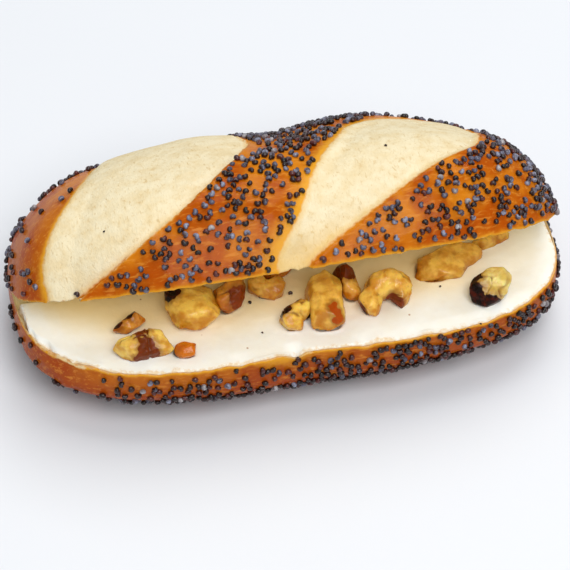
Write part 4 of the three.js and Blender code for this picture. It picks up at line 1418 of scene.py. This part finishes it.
# %% [markdown]
# ## Floor, light and camera
# The roll lies on a plain pale floor in a pale room, under two broad soft lights: one from above and
# behind, and a stronger one from the front, high up. The camera looks down at 45 degrees from the
# front, a little from the left.

# %% Floor and world
FLOOR = 3.0
floor_mesh = bpy.data.meshes.new("pale_floor")
corners = [(-FLOOR, -FLOOR, 0), (FLOOR, -FLOOR, 0), (FLOOR, FLOOR, 0), (-FLOOR, FLOOR, 0)]
floor_mesh.from_pydata(corners, [], [(0, 1, 2, 3)])
floor = bpy.data.objects.new("pale_floor", floor_mesh)
bpy.context.scene.collection.objects.link(floor)
paper = Finish("floor_paper", Roughness=0.6)
paper.paint(Base_Color=paper.mix(paper.noise(60.0, 1.0), colour(227, 227, 232), colour(229, 229, 234)))
floor_mesh.materials.append(paper.material)

world = bpy.data.worlds.new("soft_room")
world.use_nodes = True
sky = world.node_tree.nodes["Background"]
sky.inputs["Color"].default_value = (0.87, 0.98, 1.0, 1.0)
sky.inputs["Strength"].default_value = 0.42
bpy.context.scene.world = world


# %% Lights
def soft_light(name, place, aim, size, power, tint):
    """A square area light `size` metres wide at a place, turned towards `aim`."""
    data = bpy.data.lights.new(name, "AREA")
    data.shape, data.size, data.energy, data.color = "SQUARE", size, power, tint
    light = bpy.data.objects.new(name, data)
    light.location = place
    toward = np.subtract(place, aim)
    yaw = math.atan2(toward[1], toward[0])
    pitch = math.atan2(math.hypot(toward[0], toward[1]), toward[2])
    light.rotation_euler = (0, pitch, yaw)
    bpy.context.scene.collection.objects.link(light)
    return light


AIM, LIGHT_SIZE = (0, 0, 0.02), 0.7
soft_light("window_above", (0.25, 0.38, 0.95), AIM, LIGHT_SIZE, 5.15, (1.0, 0.99, 0.97))
soft_light("window_front", (0.08, -0.62, 0.9), AIM, LIGHT_SIZE, 7.4, (1.0, 0.99, 0.98))

# %% [markdown]
# The camera's place is the point 560 mm back from the middle of the roll along its line of sight,
# and the lens is set so that the roll fills the frame as it does in the photograph.

# %% Camera
CAMERA_DISTANCE = 560 * MM
CAMERA_RISE = math.radians(45)
CAMERA_TURN, CAMERA_ROLL = -0.24947, 0.010025
PICTURE = 570  # the picture's width and height in pixels
FOCAL_LENGTH = 2733.2 / PICTURE  # as a share of the sensor's width
AIM_PIXEL = (279.91, 268.18)  # where the middle of the roll lies in the picture
SENSOR = 36
level_way = math.cos(CAMERA_RISE)
back_way = np.array(
    [math.sin(CAMERA_TURN) * level_way, -math.cos(CAMERA_TURN) * level_way, math.sin(CAMERA_RISE)]
)
right_way = np.array([math.cos(CAMERA_TURN), math.sin(CAMERA_TURN), 0.0])
up_way = np.cross(back_way, right_way)
rolled_right = math.cos(CAMERA_ROLL) * right_way + math.sin(CAMERA_ROLL) * up_way
rolled_up = -math.sin(CAMERA_ROLL) * right_way + math.cos(CAMERA_ROLL) * up_way
target = np.array([0, -MIDDLE, BASE]) * MM
camera_data = bpy.data.cameras.new("photo_camera")
camera = bpy.data.objects.new("photo_camera", camera_data)
camera_data.sensor_width = SENSOR
camera_data.lens = SENSOR * FOCAL_LENGTH
camera_data.shift_x = (PICTURE / 2 - AIM_PIXEL[0]) / PICTURE
camera_data.shift_y = (AIM_PIXEL[1] - PICTURE / 2) / PICTURE
camera_data.clip_start = 0.01
placed = np.eye(4)
placed[:3, 0], placed[:3, 1], placed[:3, 2] = rolled_right, rolled_up, back_way
placed[:3, 3] = target + back_way * CAMERA_DISTANCE
bpy.context.scene.collection.objects.link(camera)
camera.matrix_world = Matrix(placed.tolist())
bpy.context.scene.camera = camera
bpy.context.scene.view_settings.view_transform = "Standard"
